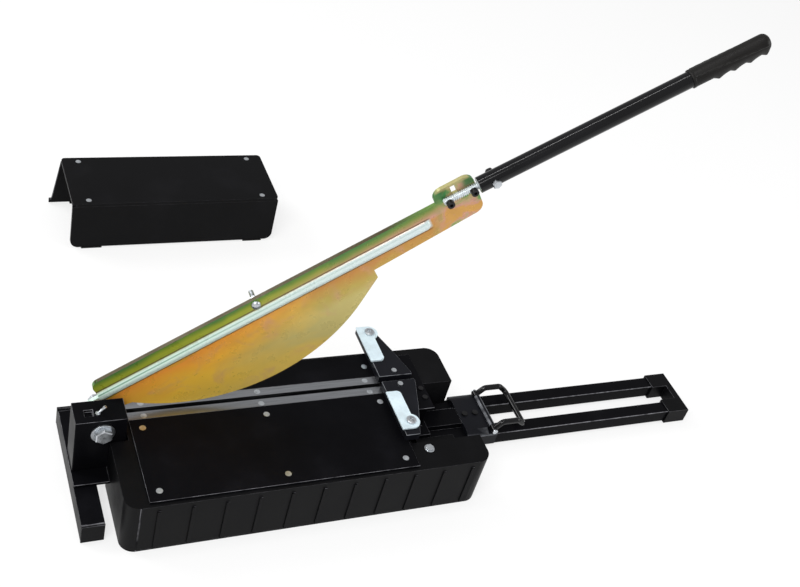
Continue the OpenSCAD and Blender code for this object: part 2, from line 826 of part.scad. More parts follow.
module web_nut() {
    nut_t = 5;
    color("#cfd3d8") on_lever() difference() {
        hex_y(web_bolt_u, web_bolt_v, web_nut_r, blade_y1, blade_y1 + nut_t);
        rod_y(web_bolt_u, web_bolt_v, web_bolt_r, blade_y1 - eps, blade_y1 + nut_t + eps);
    }
}

module along_lever(u0, u1, r) {
    translate([u0, stud_y, handle_v]) rotate([0, 90, 0]) cylinder(r = r, h = u1 - u0);
}

module handle_stud() {
    color("#d8dbe0") on_handle() difference() {
        union() {
            along_lever(stud_start, tube_start + 1, stud_d / 2);
            // Plug that fills the tube's bore
            along_lever(tube_start, stud_end, handle_d / 2 - handle_wall - seat_clear);
        }
        rod_y(handle_bolt_u, handle_v, handle_bolt_r + seat_clear, stud_y - handle_d, stud_y + handle_d);
        // Flat that lies on the ear
        box([stud_start - 1, blade_y0, handle_v - stud_d],
            [tube_start - 0.5, blade_y0 + stud_d, handle_v + stud_d]);
        // Seat and hole for each screw
        stud_screw_places() {
            box([-stud_head_r - 0.4, stud_seat_y - stud_d, -stud_d],
                [stud_head_r + 0.4, stud_seat_y, stud_d]);
            rod_y(0, 0, stud_screw_r + seat_clear, stud_y - stud_d, stud_y + stud_d);
        }
    }
}

module stud_screws() {
    color("#101012") on_handle() stud_screw_places() difference() {
        union() {
            rod_y(0, 0, stud_head_r, stud_seat_y - stud_head_t, stud_seat_y);
            rod_y(0, 0, stud_screw_r, stud_seat_y - eps, blade_y1 + 5.5);
        }
        hex_y(0, 0, 2.3, stud_seat_y - stud_head_t - eps, stud_seat_y - 3);
    }
}

module stud_nuts() {
    color("#101012") on_handle() stud_screw_places() difference() {
        hex_y(0, 0, 4.6, blade_y1, blade_y1 + 4);
        rod_y(0, 0, stud_screw_r, blade_y1 - eps, blade_y1 + 4 + eps);
    }
}

module handle_tube() {
    color("#0e0e10") on_handle() difference() {
        along_lever(tube_start, tube_end, handle_d / 2);
        along_lever(tube_start - eps, tube_end + eps, handle_d / 2 - handle_wall);
        rod_y(handle_bolt_u, handle_v, handle_bolt_r + seat_clear, stud_y - handle_d, stud_y + handle_d);
    }
}

module handle_bolt() {
    front = stud_y - handle_d / 2;
    color("#cfd3d8") on_handle() {
        hex_y(handle_bolt_u, handle_v, handle_hex_r, front - 4.5, front);
        rod_y(handle_bolt_u, handle_v, handle_bolt_r, front - eps, stud_y + handle_d / 2 + 5.5);
    }
}

module handle_nut() {
    back = stud_y + handle_d / 2;
    nut_t = 3;
    color("#101012") on_handle() difference() {
        hex_y(handle_bolt_u, handle_v, handle_hex_r, back, back + nut_t);
        rod_y(handle_bolt_u, handle_v, handle_bolt_r, back - eps, back + nut_t + eps);
    }
}

module handle_grip() {
    bump_pitch = (grip_len - bump_first - bump_half - 2) / (bump_count - 1);
    bump_start = grip_start + bump_first - bump_half;
    bump_drop = 4.6;
    bump_low = grip_r - 2.6;
    // The rounded end is solid rubber beyond the tube
    round = 8;
    color("#131314") on_handle() difference() {
        union() {
            along_lever(grip_start, grip_end - round, grip_r);
            translate([grip_end - round, stud_y, handle_v]) rotate([0, 90, 0]) rotate_extrude()
                polygon([[0, 0], [grip_r, 0], [grip_r - 2.3, 5.7], [grip_r - round, round], [0, round]]);
            along_lever(grip_start, grip_start + 4, grip_r + 0.4);
            // Finger bumps along the underside
            for (i = [0:bump_count - 1])
                translate([bump_start + i * bump_pitch, stud_y, handle_v - bump_drop])
                    rotate([0, 90, 0]) rotate_extrude() polygon([[0, 0], [bump_low, 0],
                        [bump_low + 2.8, bump_half], [bump_low, 2 * bump_half], [0, 2 * bump_half]]);
        }
        along_lever(grip_start - eps, tube_end + seat_clear, handle_d / 2 + seat_clear);
    }
}

// Fence block

// Keeps a shape on its own side, or mirrors it from rear to front
module scale_side(side) {
    if (side > 0) children();
    else mirror([0, 1, 0]) children();
}

// Draws a shape behind the cutting plane, or mirrored in front of it
module fence_side(side) {
    translate([0, cut_y, 0]) scale_side(side) children();
}

function plate_from(side) = side > 0 ? plate_rear_from : plate_front_from;
function plate_pin(side) = plate_from(side) + plate_len - plate_round_r;

module bracket(side) {
    g = fence_gap / 2;
    x0 = fence_x;
    difference() {
        translate([0, 0, bracket_z]) linear_extrude(bracket_t) polygon([
            [x0, g], [x0 + bracket_w, g], [x0 + bracket_w, g + 5],
            [x0 + bracket_w - 12, g + bracket_len * 0.5], [x0 + 19, g + bracket_len],
            [x0, g + bracket_len]]);
        rod_z(plate_x, plate_pin(side), hold_r - 1, bracket_z - eps, plate_z + eps);
        rod_z(bracket_screw_x, bracket_screw_u, screw_shank_r, bracket_z - eps, plate_z + eps);
    }
}

module fence_bracket_front() {
    color("#1d1d21") fence_side(-1) bracket(-1);
}

module fence_bracket_rear() {
    color("#1d1d21") fence_side(1) bracket(1);
}

module fence_tie() {
    color("#1b1b1e") difference() {
        box([tie_x0, cut_y - tie_reach, tie_z], [tie_x1, cut_y + tie_reach, bracket_z]);
        for (side = [-1, 1])
            rod_z(bracket_screw_x, cut_y + side * bracket_screw_u, screw_shank_r,
                tie_z - eps, bracket_z + eps);
        for (y = tie_screw_y) rod_z(riser_mid_x, y, screw_shank_r, tie_z - eps, bracket_z + eps);
    }
}

module fence_riser() {
    wing = tongue_w / 2 + 0.3;
    color("#1b1b1e") difference() {
        union() {
            // Shoe that rides on both rails and straddles the tongue
            box([riser_x0, rail_mid_y - riser_reach, tongue_z1],
                [riser_x1, rail_mid_y + riser_reach, riser_top]);
            box([riser_x0, rail_mid_y - riser_reach, slide_z], [riser_x1, rail_mid_y - wing, riser_top]);
            box([riser_x0, rail_mid_y + wing, slide_z], [riser_x1, rail_mid_y + riser_reach, riser_top]);
            // Upright that carries the brackets
            box([riser_mid_x - riser_half, rail_mid_y - tongue_w / 2, tongue_z1],
                [riser_mid_x + riser_half, rail_mid_y + tongue_w / 2, tie_z]);
        }
        for (y = tie_screw_y) rod_z(riser_mid_x, y, screw_shank_r, tie_z - 14, tie_z + eps);
        for (x = riser_screw_x) rod_z(x, rail_mid_y, screw_shank_r, tongue_z1 - eps, riser_top + eps);
    }
}

module fence_tongue() {
    y0 = rail_mid_y - tongue_w / 2;
    y1 = rail_mid_y + tongue_w / 2;
    color("#1d1d21") difference() {
        union() {
            box([riser_x0, y0, tongue_z0], [cross_x0, y1, tongue_z1]);
            box([cross_x0 - eps, y0, tongue_z0], [cross_x1 - 2, y1, slide_z]);
        }
        for (x = cross_screw_x) rod_z(x, rail_mid_y, screw_shank_r, tongue_z0 - eps, tongue_z1 + eps);
        for (x = riser_screw_x) rod_z(x, rail_mid_y, screw_shank_r, tongue_z1 - 8, tongue_z1 + eps);
    }
}

module fence_screws() {
    color("#d5d8dc") {
        for (side = [-1, 1])
            screw_z(bracket_screw_x, cut_y + side * bracket_screw_u, bracket_z + bracket_t, 3.6, 2,
                screw_shank_r, bracket_t + 2.5);
        for (x = riser_screw_x) screw_z(x, rail_mid_y, riser_top, riser_head_r, 2, screw_shank_r, 12);
    }
}

module hold_down_screws() {
    color("#d5d8dc") for (side = [-1, 1]) fence_side(side) {
        y = plate_pin(side);
        rod_z(plate_x, y, hold_r - 1, bracket_z + 0.5, plate_z);
        rod_z(plate_x, y, hold_r, bracket_z + bracket_t, plate_z + plate_t + 0.2);
        rod_z(plate_x, y, hold_r + 3, plate_z + plate_t + 0.2, plate_z + plate_t + 3);
    }
}

module hold_down(side) {
    // Keyhole-shaped plate: a straight finger and a round end at the screw
    y_pin = plate_pin(side);
    x0 = plate_x - plate_round_r - 3.5;
    y0 = plate_from(side);
    difference() {
        translate([0, 0, plate_z]) linear_extrude(plate_t) {
            translate([plate_x, y_pin]) circle(plate_round_r);
            flat(x0, y_pin, plate_x, y_pin + plate_round_r);
            flat(x0, y0 + 6, x0 + plate_w, y_pin);
            flat(x0, y0, x0 + plate_w - 6, y0 + 7);
            translate([x0 + plate_w - 6, y0 + 6]) circle(6);
        }
        rod_z(plate_x, y_pin, hold_r + run_clear, plate_z - eps, plate_z + plate_t + eps);
    }
}

module hold_down_front() {
    color("#dfe5ea") fence_side(-1) hold_down(-1);
}

module hold_down_rear() {
    color("#dfe5ea") fence_side(1) hold_down(1);
}

module cross_profile() {
    half_in = rail_out + clear;
    half_out = half_in + cross_side;
    top = slide_z + cross_h;
    translate([rail_mid_y, 0]) polygon([
        [-half_out, rail_z + 4], [-half_out, top - 5], [-half_out + cross_bevel, top],
        [half_out - cross_bevel, top], [half_out, top - 5], [half_out, rail_z + 4],
        [half_in, rail_z + 4], [half_in, slide_z], [-half_in, slide_z], [-half_in, rail_z + 4]]);
}

module cross_plate() {
    top = slide_z + cross_h;
    color("#22232a") difference() {
        union() {
            bar_yz(cross_x0, cross_x1) cross_profile();
            // Barrel that holds the bail's pin
            rod_y(bail_x, bail_z, 4.6, rail_mid_y - barrel_half, rail_mid_y + barrel_half);
            box([bail_x - 4.6, rail_mid_y - barrel_half, top - 1],
                [bail_x + 4.6, rail_mid_y + barrel_half, bail_z]);
        }
        rod_y(bail_x, bail_z, bail_pin_r, rail_mid_y - barrel_half - eps, rail_mid_y + barrel_half + eps);
        // Pockets for the bail's eyes at both ends of the barrel
        for (side = [-1, 1]) translate([0, rail_mid_y, 0]) scale_side(side)
            box([bail_x - bail_eye_r - 2.6, barrel_half, bail_z - bail_eye_r - 0.5],
                [cross_x1 + eps, rail_out + cross_side + 2, top + 1]);
        for (x = cross_screw_x) rod_z(x, rail_mid_y, screw_shank_r, slide_z - eps, top + eps);
    }
}

module cross_screws() {
    color("#101012") {
        for (x = cross_screw_x)
            screw_z(x, rail_mid_y, slide_z + cross_h, 4.2, 2.4, screw_shank_r,
                cross_h + slide_z - tongue_z0 - 1);
        // The same black screws hold the tie on the riser
        for (y = tie_screw_y) screw_z(riser_mid_x, y, bracket_z, 3.6, 2, screw_shank_r, 14);
    }
}

module bail_pin() {
    half = bail_half + bail_knee + 2;
    color("#cfd3d8") {
        rod_y(bail_x, bail_z, bail_pin_r, rail_mid_y - half, rail_mid_y + half);
        for (side = [-1, 1])
            rod_y(bail_x, bail_z, bail_pin_r + 1.2, rail_mid_y + side * (half - 0.7) - 0.7,
                rail_mid_y + side * (half - 0.7) + 0.7);
    }
}

// One side of the bail: eye on the pin, leg up, level run, and leg down to the crossbar
module bail_side() {
    top_z = bail_z + bail_rise;
    near_x = bail_x + bail_step;
    far_x = bail_x + bail_reach;
    run_x = far_x - bail_slope;
    knuckle(bail_x, bail_z, bail_eye_r);
    bail_leg(bail_x, bail_z, near_x, top_z);
    knuckle(near_x, top_z, bail_knee);
    bail_leg(near_x, top_z, run_x, top_z);
    knuckle(run_x, top_z, bail_knee);
    bail_leg(run_x, top_z, far_x, bail_z + bail_lift);
    knuckle(far_x, bail_z + bail_lift, bail_knee);
}

module knuckle(x, z, r) {
    rod_y(x, z, r, bail_half - bail_knee, bail_half + bail_knee);
}

module bail_leg(x0, z0, x1, z1) {
    translate([x0, bail_half, z0]) rotate([0, 90 - atan2(z1 - z0, x1 - x0), 0])
        cylinder(r = bail_d / 2, h = norm([x1 - x0, z1 - z0]));
}

module bail() {
    color("#161618") translate([0, rail_mid_y, 0]) difference() {
        union() {
            bail_side();
            mirror([0, 1, 0]) bail_side();
            rod_y(bail_x + bail_reach, bail_z + bail_lift, bail_d / 2, -bail_half, bail_half);
        }
        rod_y(bail_x, bail_z, bail_pin_r + run_clear, -bail_half - bail_d, bail_half + bail_d);
    }
}

// Pull-out rails

module rail(side) {
    w = rail_wall;
    translate([0, rail_mid_y, 0]) scale_side(side) difference() {
        box([rail_x0, rail_in, rail_z], [rail_x1, rail_out, rail_top]);
        box([rail_x0 - eps, rail_in + w, rail_z + w], [rail_x1 + eps, rail_out - w, rail_top - w]);
        rod_z(cap_screw_x, (rail_in + rail_out) / 2, screw_shank_r + seat_clear,
            rail_z - eps, rail_z + w + eps);
    }
}

module rail_front() {
    color("#1b1b1e") rail(-1);
}

module rail_rear() {
    color("#1b1b1e") rail(1);
}

module rail_tie() {
    // Low bar welded between the rails' inner ends
    color("#1b1b1e")
        box([tie_bar_x, rail_mid_y - rail_in, rail_z],
            [tie_bar_x + 16, rail_mid_y + rail_in, rail_z + 8]);
}

module rail_end_cap() {
    half = rail_out + cap_side;
    corner = 8;
    s = seat_clear;
    color("#121214") difference() {
        intersection() {
            linear_extrude(cap_h) translate([0, rail_mid_y]) polygon([
                [cap_x0, -half], [cap_x1 - corner, -half], [cap_x1, corner - half],
                [cap_x1, half - corner], [cap_x1 - corner, half], [cap_x0, half]]);
            plate_xz(rail_mid_y - half - 1, rail_mid_y + half + 1) polygon([
                [cap_x0, 0], [cap_x1 - 2, 0], [cap_x1, 2], [cap_x1, cap_h - 12],
                [cap_x1 - 9, cap_h], [cap_x0, cap_h]]);
        }
        for (side = [-1, 1])
            translate([0, rail_mid_y, 0]) scale_side(side)
                box([cap_x0 - eps, rail_in - s, rail_z - s], [rail_x1 + s, rail_out + s, rail_top + s]);
        // Open between the rails up to the end bar
        box([cap_x0 - eps, rail_mid_y - rail_in + 3, -eps],
            [cap_x1 - 19, rail_mid_y + rail_in - 3, cap_h + eps]);
        for (side = [-1, 1])
            rod_z(cap_screw_x, rail_mid_y + side * (rail_in + rail_out) / 2,
                screw_shank_r + seat_clear, -eps, rail_z);
    }
}

module rail_screws() {
    color("#c9ccd0") for (side = [-1, 1]) {
        y = rail_mid_y + side * (rail_in + rail_out) / 2;
        rod_z(cap_screw_x, y, screw_shank_r, 0.3, rail_z + rail_wall + 5);
        rod_z(cap_screw_x, y, 4, rail_z + rail_wall, rail_z + rail_wall + 3);
    }
}

// Support stand

module stand_top() {
    color("#18181a") difference() {
        translate([0, 0, stand_under]) linear_extrude(stand_t)
            rounded(stand_x0, stand_y, stand_x1, stand_y1, 6);
        for (x = stand_screw_x, y = stand_screw_y) {
            rod_z(x, y, screw_shank_r, stand_under - eps, table_h + eps);
            rod_z(x, y, screw_head_r + sink_clear, table_h - bed_sink, table_h + eps);
        }
    }
}

module leg_holes() {
    for (x = stand_screw_x, y = stand_screw_y)
        rod_z(x, y, screw_shank_r, stand_under - stand_t - eps, stand_under + eps);
}

module stand_front_leg() {
    color("#18181a") difference() {
        union() {
            plate_xz(stand_y, stand_y + stand_t) {
                rounded(stand_x0, pad_t, stand_x1, stand_under, 12);
                flat(stand_x0, stand_under - 20, stand_x1, stand_under);
            }
            box([stand_x0 + 8, stand_y, stand_under - stand_t],
                [stand_x1 - 8, stand_y + leg_flange, stand_under]);
        }
        leg_holes();
    }
}

module stand_rear_leg() {
    s = stand_splay;
    color("#18181a") difference() {
        union() {
            plate_xz(stand_y1 - stand_t, stand_y1) polygon([
                [stand_x0 - s, pad_t], [stand_x1 + s, pad_t], [stand_x1 + s, pad_t + 6],
                [stand_x1 + s - 4, pad_t + 6], [stand_x1, stand_under], [stand_x0, stand_under],
                [stand_x0 - s + 4, pad_t + 6], [stand_x0 - s, pad_t + 6]]);
            box([stand_x0 + 8, stand_y1 - leg_flange, stand_under - stand_t],
                [stand_x1 - 8, stand_y1, stand_under]);
        }
        leg_holes();
    }
}

module stand_screws() {
    color("#c9ccd0") for (x = stand_screw_x, y = stand_screw_y)
        screw_z(x, y, table_h - bed_sink, screw_head_r, bed_sink - 0.2, screw_shank_r,
            stand_t - bed_sink + stand_t + 3);
}

module stand_pads() {
    color("#0c0c0d") for (x = [stand_x0 + 16, stand_x1 - 46]) {
        box([x, stand_y - 1, 0], [x + 30, stand_y + stand_t + 2, pad_t]);
        box([x, stand_y1 - stand_t - 2, 0], [x + 30, stand_y1 + 1, pad_t]);
    }
}

base_shell();
base_bottom();
bottom_screws();
bed_front();
bed_rear();
bed_screws();
anvil_front();
anvil_rear();
anvil_screws();
deck_screw();
bridge_plate();
bridge_screws();
skid_bar();
skid_plugs();
pivot_post();
post_screws();
pivot_bolt();
front_washer();
thrust_washer();
rear_washer();
pivot_nut();
grease_nipple();
rail_guide_front();
rail_guide_rear();
guide_screws();
blade();
pivot_bush();
web_bolt();
web_nut();
handle_stud();
stud_screws();
stud_nuts();
handle_tube();
handle_bolt();
handle_nut();
handle_grip();
fence_bracket_front();
fence_bracket_rear();
fence_tie();
fence_riser();
fence_tongue();
fence_screws();
hold_down_screws();
cross_plate();
cross_screws();
bail_pin();
hold_down_front();
hold_down_rear();
bail();
rail_front();
rail_rear();
rail_tie();
rail_end_cap();
rail_screws();
stand_top();
stand_front_leg();
stand_rear_leg();
stand_screws();
stand_pads();
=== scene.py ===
import json
import math

import bmesh
import bpy
from mathutils import Matrix, Vector


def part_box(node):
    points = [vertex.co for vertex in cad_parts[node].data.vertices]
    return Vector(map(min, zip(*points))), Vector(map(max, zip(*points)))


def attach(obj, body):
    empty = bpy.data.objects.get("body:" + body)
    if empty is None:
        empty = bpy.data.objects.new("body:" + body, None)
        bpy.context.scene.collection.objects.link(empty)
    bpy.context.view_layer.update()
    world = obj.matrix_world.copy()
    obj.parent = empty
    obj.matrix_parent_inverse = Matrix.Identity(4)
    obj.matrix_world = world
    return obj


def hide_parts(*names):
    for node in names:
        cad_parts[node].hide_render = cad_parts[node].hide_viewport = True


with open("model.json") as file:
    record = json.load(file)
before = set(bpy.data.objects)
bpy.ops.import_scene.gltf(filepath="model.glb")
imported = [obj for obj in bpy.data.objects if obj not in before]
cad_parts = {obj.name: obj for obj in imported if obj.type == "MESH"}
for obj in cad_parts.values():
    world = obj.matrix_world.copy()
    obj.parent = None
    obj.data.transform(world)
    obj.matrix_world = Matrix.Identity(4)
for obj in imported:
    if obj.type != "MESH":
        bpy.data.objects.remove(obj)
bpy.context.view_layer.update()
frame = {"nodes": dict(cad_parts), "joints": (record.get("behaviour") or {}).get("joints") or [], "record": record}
NODES = frame["nodes"]
BODY_OF = {n: b for b, ns in frame["record"]["behaviour"]["bodies"].items() for n in ns}
SLOT_OF = {p["node"]: p["material_slot"] for p in frame["record"]["subparts"]}

bl_info = {
    "name": "Laminate cutter",
    "version": (1, 0, 0),
    "blender": (4, 5, 0),
    "location": "View3D > Sidebar > Cutter",
    "description": "Dresses the packed laminate cutter: rounded edges, turned details, finishes",
    "category": "Object",
}

MM = 0.001
REAR = Vector((0, 1, 0))
# Lays a piece that was turned on Z along X
ON_X = Matrix.Rotation(math.radians(90), 4, "Y")


# Sizes and colours that a user would change


def colour(name, text, value):
    return bpy.props.FloatVectorProperty(
        name=name, description=text, subtype="COLOR", size=3, min=0.0, max=1.0, default=value
    )


def length(name, text, value):
    return bpy.props.FloatProperty(
        name=name,
        description=text,
        unit="LENGTH",
        subtype="DISTANCE",
        min=0.0,
        precision=5,
        default=value,
    )


def slope(name, text, degrees):
    return bpy.props.FloatProperty(
        name=name, description=text, subtype="ANGLE", default=math.radians(degrees)
    )


class CutterColours(bpy.types.PropertyGroup):
    moulding: colour("Moulding", "Black plastic of base, cap and stand", (0.0034, 0.0034, 0.0040))
    paint: colour("Paint", "Black paint on the steel pieces", (0.0036, 0.0036, 0.0046))
    slate: colour("Slate", "Bluish black paint on the fence", (0.0075, 0.0080, 0.0110))
    tube: colour("Tube", "Gloss black paint on the handle tube", (0.0032, 0.0032, 0.0040))
    zinc: colour("Zinc", "Bright plating on bolts, nuts and screws", (0.58, 0.61, 0.64))
    ground: colour("Ground steel", "Bare steel of the two anvils", (0.30, 0.31, 0.33))
    gold: colour("Gold", "Yellow plating on the blade's web", (0.92, 0.55, 0.06))
    orange: colour("Orange", "Yellow plating under the bead", (0.92, 0.35, 0.05))
    olive: colour("Olive", "Yellow plating on the strip over the bead", (0.34, 0.37, 0.03))
    leaf: colour("Leaf", "Green plating along the top edge and on the ear", (0.07, 0.19, 0.05))
    blush: colour("Blush", "Pink patches in the plating", (0.58, 0.30, 0.22))
    # Bead highlight: a light tint painted on the round of the bead as its highlight
    bead_highlight: colour("Mint", "Pale plating on the round of the bead", (0.62, 0.78, 0.69))
    bronze: colour("Bronze", "Bush and thrust washer", (0.45, 0.27, 0.10))
    oxide: colour("Black oxide", "Stud's cap screws and other black screws", (0.010, 0.010, 0.011))
    rod: colour("Rod", "Threaded rod on the ear", (0.75, 0.80, 0.83))
    plate: colour("Plate", "Light hold-down plates", (0.74, 0.88, 0.95))
    rubber: colour("Rubber", "Grip and pads", (0.0075, 0.0068, 0.0062))
    floor: colour("Floor", "Plain floor", (0.93, 0.93, 0.93))


class CutterSizes(bpy.types.PropertyGroup):
    edge_round: length("Edge rounding", "Rounding of the long edges of steel pieces", 0.6 * MM)
    moulding_round: length("Moulding rounding", "Rounding of moulded pieces' long edges", 1.4 * MM)
    thread_pitch: length("Thread pitch", "Pitch of the stud's thread", 2.6 * MM)
    scallop: length("Scallop", "Depth of the finger scallops under the grip", 4.8 * MM)
    scallop_pitch: length("Scallop pitch", "Distance from one finger bump to the next", 20.5 * MM)
    bail_bend: length("Bail bend", "Bend radius of the bail at its middle line", 8.0 * MM)
    lever_angle: slope("Lever angle", "Angle of the lever above level", 33.5)
    handle_tilt: slope("Handle tilt", "Drop of the handle from the lever's line", 1.5)


def sizes():
    return bpy.context.scene.cutter_sizes


def tone(name):
    return tuple(getattr(bpy.context.scene.cutter_colours, name))


# Node helpers for the finishes


class Finish:
    """A new material with its shader, and short calls that add nodes to it."""

    def __init__(self, name, base, metallic, rough, specular=0.5):
        self.mat = bpy.data.materials.new(name)
        self.mat.use_nodes = True
        self.tree = self.mat.node_tree
        self.shader = self.tree.nodes["Principled BSDF"]
        self.shader.inputs["Base Color"].default_value = (*base, 1.0)
        self.shader.inputs["Metallic"].default_value = metallic
        self.shader.inputs["Roughness"].default_value = rough
        self.shader.inputs["Specular IOR Level"].default_value = specular
        self.mat.diffuse_color = (*base, 1.0)

    def add(self, kind, **values):
        made = self.tree.nodes.new(kind)
        for key, value in values.items():
            setattr(made, key, value)
        return made

    def link(self, a, b):
        self.tree.links.new(a, b)

    def place(self, location=(0, 0, 0), rotation=(0, 0, 0), scale=(1, 1, 1)):
        """Object coordinates, moved and turned into a frame of their own."""
        source = self.add("ShaderNodeTexCoord")
        mapping = self.add("ShaderNodeMapping", vector_type="TEXTURE")
        mapping.inputs["Location"].default_value = location
        mapping.inputs["Rotation"].default_value = rotation
        mapping.inputs["Scale"].default_value = scale
        self.link(source.outputs["Object"], mapping.inputs["Vector"])
        return mapping.outputs["Vector"]

    def noise(self, where, scale, detail=4.0, rough=0.55, distortion=0.0):
        made = self.add("ShaderNodeTexNoise")
        made.inputs["Scale"].default_value = scale
        made.inputs["Detail"].default_value = detail
        made.inputs["Roughness"].default_value = rough
        made.inputs["Distortion"].default_value = distortion
        self.link(where, made.inputs["Vector"])
        return made.outputs["Fac"]

    def ramp(self, factor, stops):
        made = self.add("ShaderNodeValToRGB")
        band = made.color_ramp
        while len(band.elements) < len(stops):
            band.elements.new(0.5)
        for element, (at, value) in zip(band.elements, stops):
            element.position = at
            element.color = (*value, 1.0)
        self.link(factor, made.inputs["Fac"])
        return made.outputs["Color"]

    def span(self, value, low, high, out_low=0.0, out_high=1.0):
        made = self.add("ShaderNodeMapRange")
        made.inputs["From Min"].default_value = low
        made.inputs["From Max"].default_value = high
        made.inputs["To Min"].default_value = out_low
        made.inputs["To Max"].default_value = out_high
        self.link(value, made.inputs["Value"])
        return made.outputs["Result"]

    def calc(self, operation, *values):
        made = self.add("ShaderNodeMath", operation=operation)
        for socket, value in zip(made.inputs, values):
            if isinstance(value, (int, float)):
                socket.default_value = value
            else:
                self.link(value, socket)
        return made.outputs["Value"]

    def band(self, value, rise, fall):
        """One between a rise and a fall, each given by its start and end."""
        return self.calc("MULTIPLY", self.span(value, *rise), self.span(value, *fall))

    def mix(self, factor, a, b):
        made = self.add("ShaderNodeMix", data_type="RGBA")
        self.link(factor, made.inputs["Factor"])
        for socket, value in ((made.inputs[6], a), (made.inputs[7], b)):
            if isinstance(value, tuple):
                socket.default_value = (*value, 1.0)
            else:
                self.link(value, socket)
        return made.outputs[2]

    def edge_highlight_and_wear(self, where):
        """Painted highlight: one on rounded upper edges, broken up by a noise like wear, and nothing on the flats
        and sides.
        """
        split = self.add("ShaderNodeSeparateXYZ")
        self.link(self.add("ShaderNodeTexCoord").outputs["Normal"], split.inputs["Vector"])
        edge = self.band(split.outputs["Z"], rise=(0.25, 0.45), fall=(0.97, 0.88))
        highlight_breakup = self.span(self.noise(where, scale=90.0), 0.35, 0.65, 0.25, 1.0)
        return self.calc("MULTIPLY", edge, highlight_breakup)

    def bump(self, height, strength, distance):
        made = self.add("ShaderNodeBump")
        made.inputs["Strength"].default_value = strength
        made.inputs["Distance"].default_value = distance
        self.link(height, made.inputs["Height"])
        self.link(made.outputs["Normal"], self.shader.inputs["Normal"])

    def base(self, value):
        self.link(value, self.shader.inputs["Base Color"])

    def rough(self, value):
        self.link(value, self.shader.inputs["Roughness"])


def shade(base, factor):
    return tuple(min(1.0, c * factor) for c in base)


def black_finish(name, base, specular, gloss, grain, depth, worn_highlight):
    """Black moulding or paint: cloudy gloss, fine grain, and upper edges painted lighter as a highlight, broken up
    like wear.
    """
    f = Finish(name, base, metallic=0.0, rough=sum(gloss) / 2, specular=specular)
    at = f.place()
    broad = f.noise(at, scale=18.0, detail=5.0)
    stops = [(0.30, shade(base, 0.75)), (0.55, base), (0.80, shade(base, 1.8))]
    # Upper edges take a lighter colour: a painted highlight, broken up like wear
    f.base(f.mix(f.edge_highlight_and_wear(at), f.ramp(broad, stops), worn_highlight))
    f.rough(f.span(broad, 0.3, 0.75, *gloss))
    f.bump(f.noise(at, scale=grain, detail=3.0), depth, 0.3 * MM)
    return f.mat


def moulded_finish():
    return black_finish(
        "moulded_black",
        tone("moulding"),
        specular=0.07,
        gloss=(0.36, 0.52),
        grain=1500.0,
        depth=0.14,
        worn_highlight=(0.12, 0.12, 0.13),
    )


def painted_finish():
    return black_finish(
        "painted_black",
        tone("paint"),
        specular=0.03,
        gloss=(0.28, 0.44),
        grain=620.0,
        depth=0.08,
        worn_highlight=(0.24, 0.24, 0.26),
    )


def slate_finish():
    return black_finish(
        "slate_paint",
        tone("slate"),
        specular=0.10,
        gloss=(0.34, 0.48),
        grain=700.0,
        depth=0.08,
        worn_highlight=(0.22, 0.23, 0.25),
    )


def cloudy_finish(name, base, metallic, rough, clouds, tones, gloss, grain=None, specular=0.5):
    """A finish with a cloudy tone and gloss from one noise, and a fine grain from another.

    clouds: scale and detail of the noise; tones: its stops, with their share of the base colour;
    gloss: range of the noise and the roughness at its ends; grain: scale and detail of the
    second noise, with the strength and depth of its bump.
    """
    f = Finish(name, base, metallic, rough, specular)
    at = f.place()
    cloud = f.noise(at, *clouds)
    f.base(f.ramp(cloud, [(stop, shade(base, share)) for stop, share in tones]))
    f.rough(f.span(cloud, *gloss))
    if grain:
        scale, detail, strength, depth = grain
        f.bump(f.noise(at, scale, detail), strength, depth)
    return f


def tube_finish():
    f = cloudy_finish(
        "gloss_tube",
        tone("tube"),
        metallic=0.0,
        rough=0.14,
        clouds=(26.0, 4.0),
        tones=[(0.35, 0.8), (0.7, 1.3)],
        gloss=(0.3, 0.75, 0.12, 0.22),
        grain=(90.0, 2.0, 0.02, 0.4 * MM),
        specular=0.09,
    )
    f.shader.inputs["Coat Weight"].default_value = 0.40
    f.shader.inputs["Coat Roughness"].default_value = 0.06
    return f.mat


def zinc_finish():
    return cloudy_finish(
        "bright_zinc",
        tone("zinc"),
        metallic=1.0,
        rough=0.33,
        clouds=(160.0, 5.0),
        tones=[(0.3, 0.78), (0.55, 1.0), (0.8, 1.2)],
        gloss=(0.3, 0.75, 0.25, 0.42),
        grain=(900.0, 2.0, 0.06, 0.2 * MM),
    ).mat


def rod_finish():
    return cloudy_finish(
        "bright_rod",
        tone("rod"),
        metallic=0.45,
        rough=0.38,
        clouds=(180.0, 4.0),
        tones=[(0.3, 0.8), (0.7, 1.1)],
        gloss=(0.3, 0.7, 0.32, 0.46),
    ).mat


def ground_finish():
    """Fine grinding lines along the anvils."""
    base = tone("ground")
    f = Finish("ground_steel", base, metallic=1.0, rough=0.34)
    lines = f.noise(f.place(scale=(0.25, 0.002, 0.02)), scale=6.0)
    f.base(f.ramp(lines, [(0.3, shade(base, 0.7)), (0.7, shade(base, 1.25))]))
    f.rough(f.span(lines, 0.3, 0.7, 0.26, 0.42))
    f.bump(lines, strength=0.05, distance=0.2 * MM)
    return f.mat


def bronze_finish():
    return cloudy_finish(
        "plain_bronze",
        tone("bronze"),
        metallic=1.0,
        rough=0.38,
        clouds=(220.0, 4.0),
        tones=[(0.3, 0.7), (0.7, 1.2)],
        gloss=(0.3, 0.7, 0.3, 0.5),
    ).mat


def oxide_finish():
    return cloudy_finish(
        "black_oxide",
        tone("oxide"),
        metallic=0.6,
        rough=0.38,
        clouds=(300.0, 4.0),
        tones=[(0.3, 0.7), (0.7, 1.8)],
        gloss=(0.3, 0.7, 0.3, 0.5),
    ).mat


def plate_finish():
    return cloudy_finish(
        "light_plate",
        tone("plate"),
        metallic=0.30,
        rough=0.50,
        clouds=(55.0, 5.0, 0.65),
        tones=[(0.3, 0.86), (0.55, 1.0), (0.8, 1.1)],
        gloss=(0.3, 0.7, 0.42, 0.58),
        grain=(1100.0, 2.0, 0.05, 0.2 * MM),
    ).mat


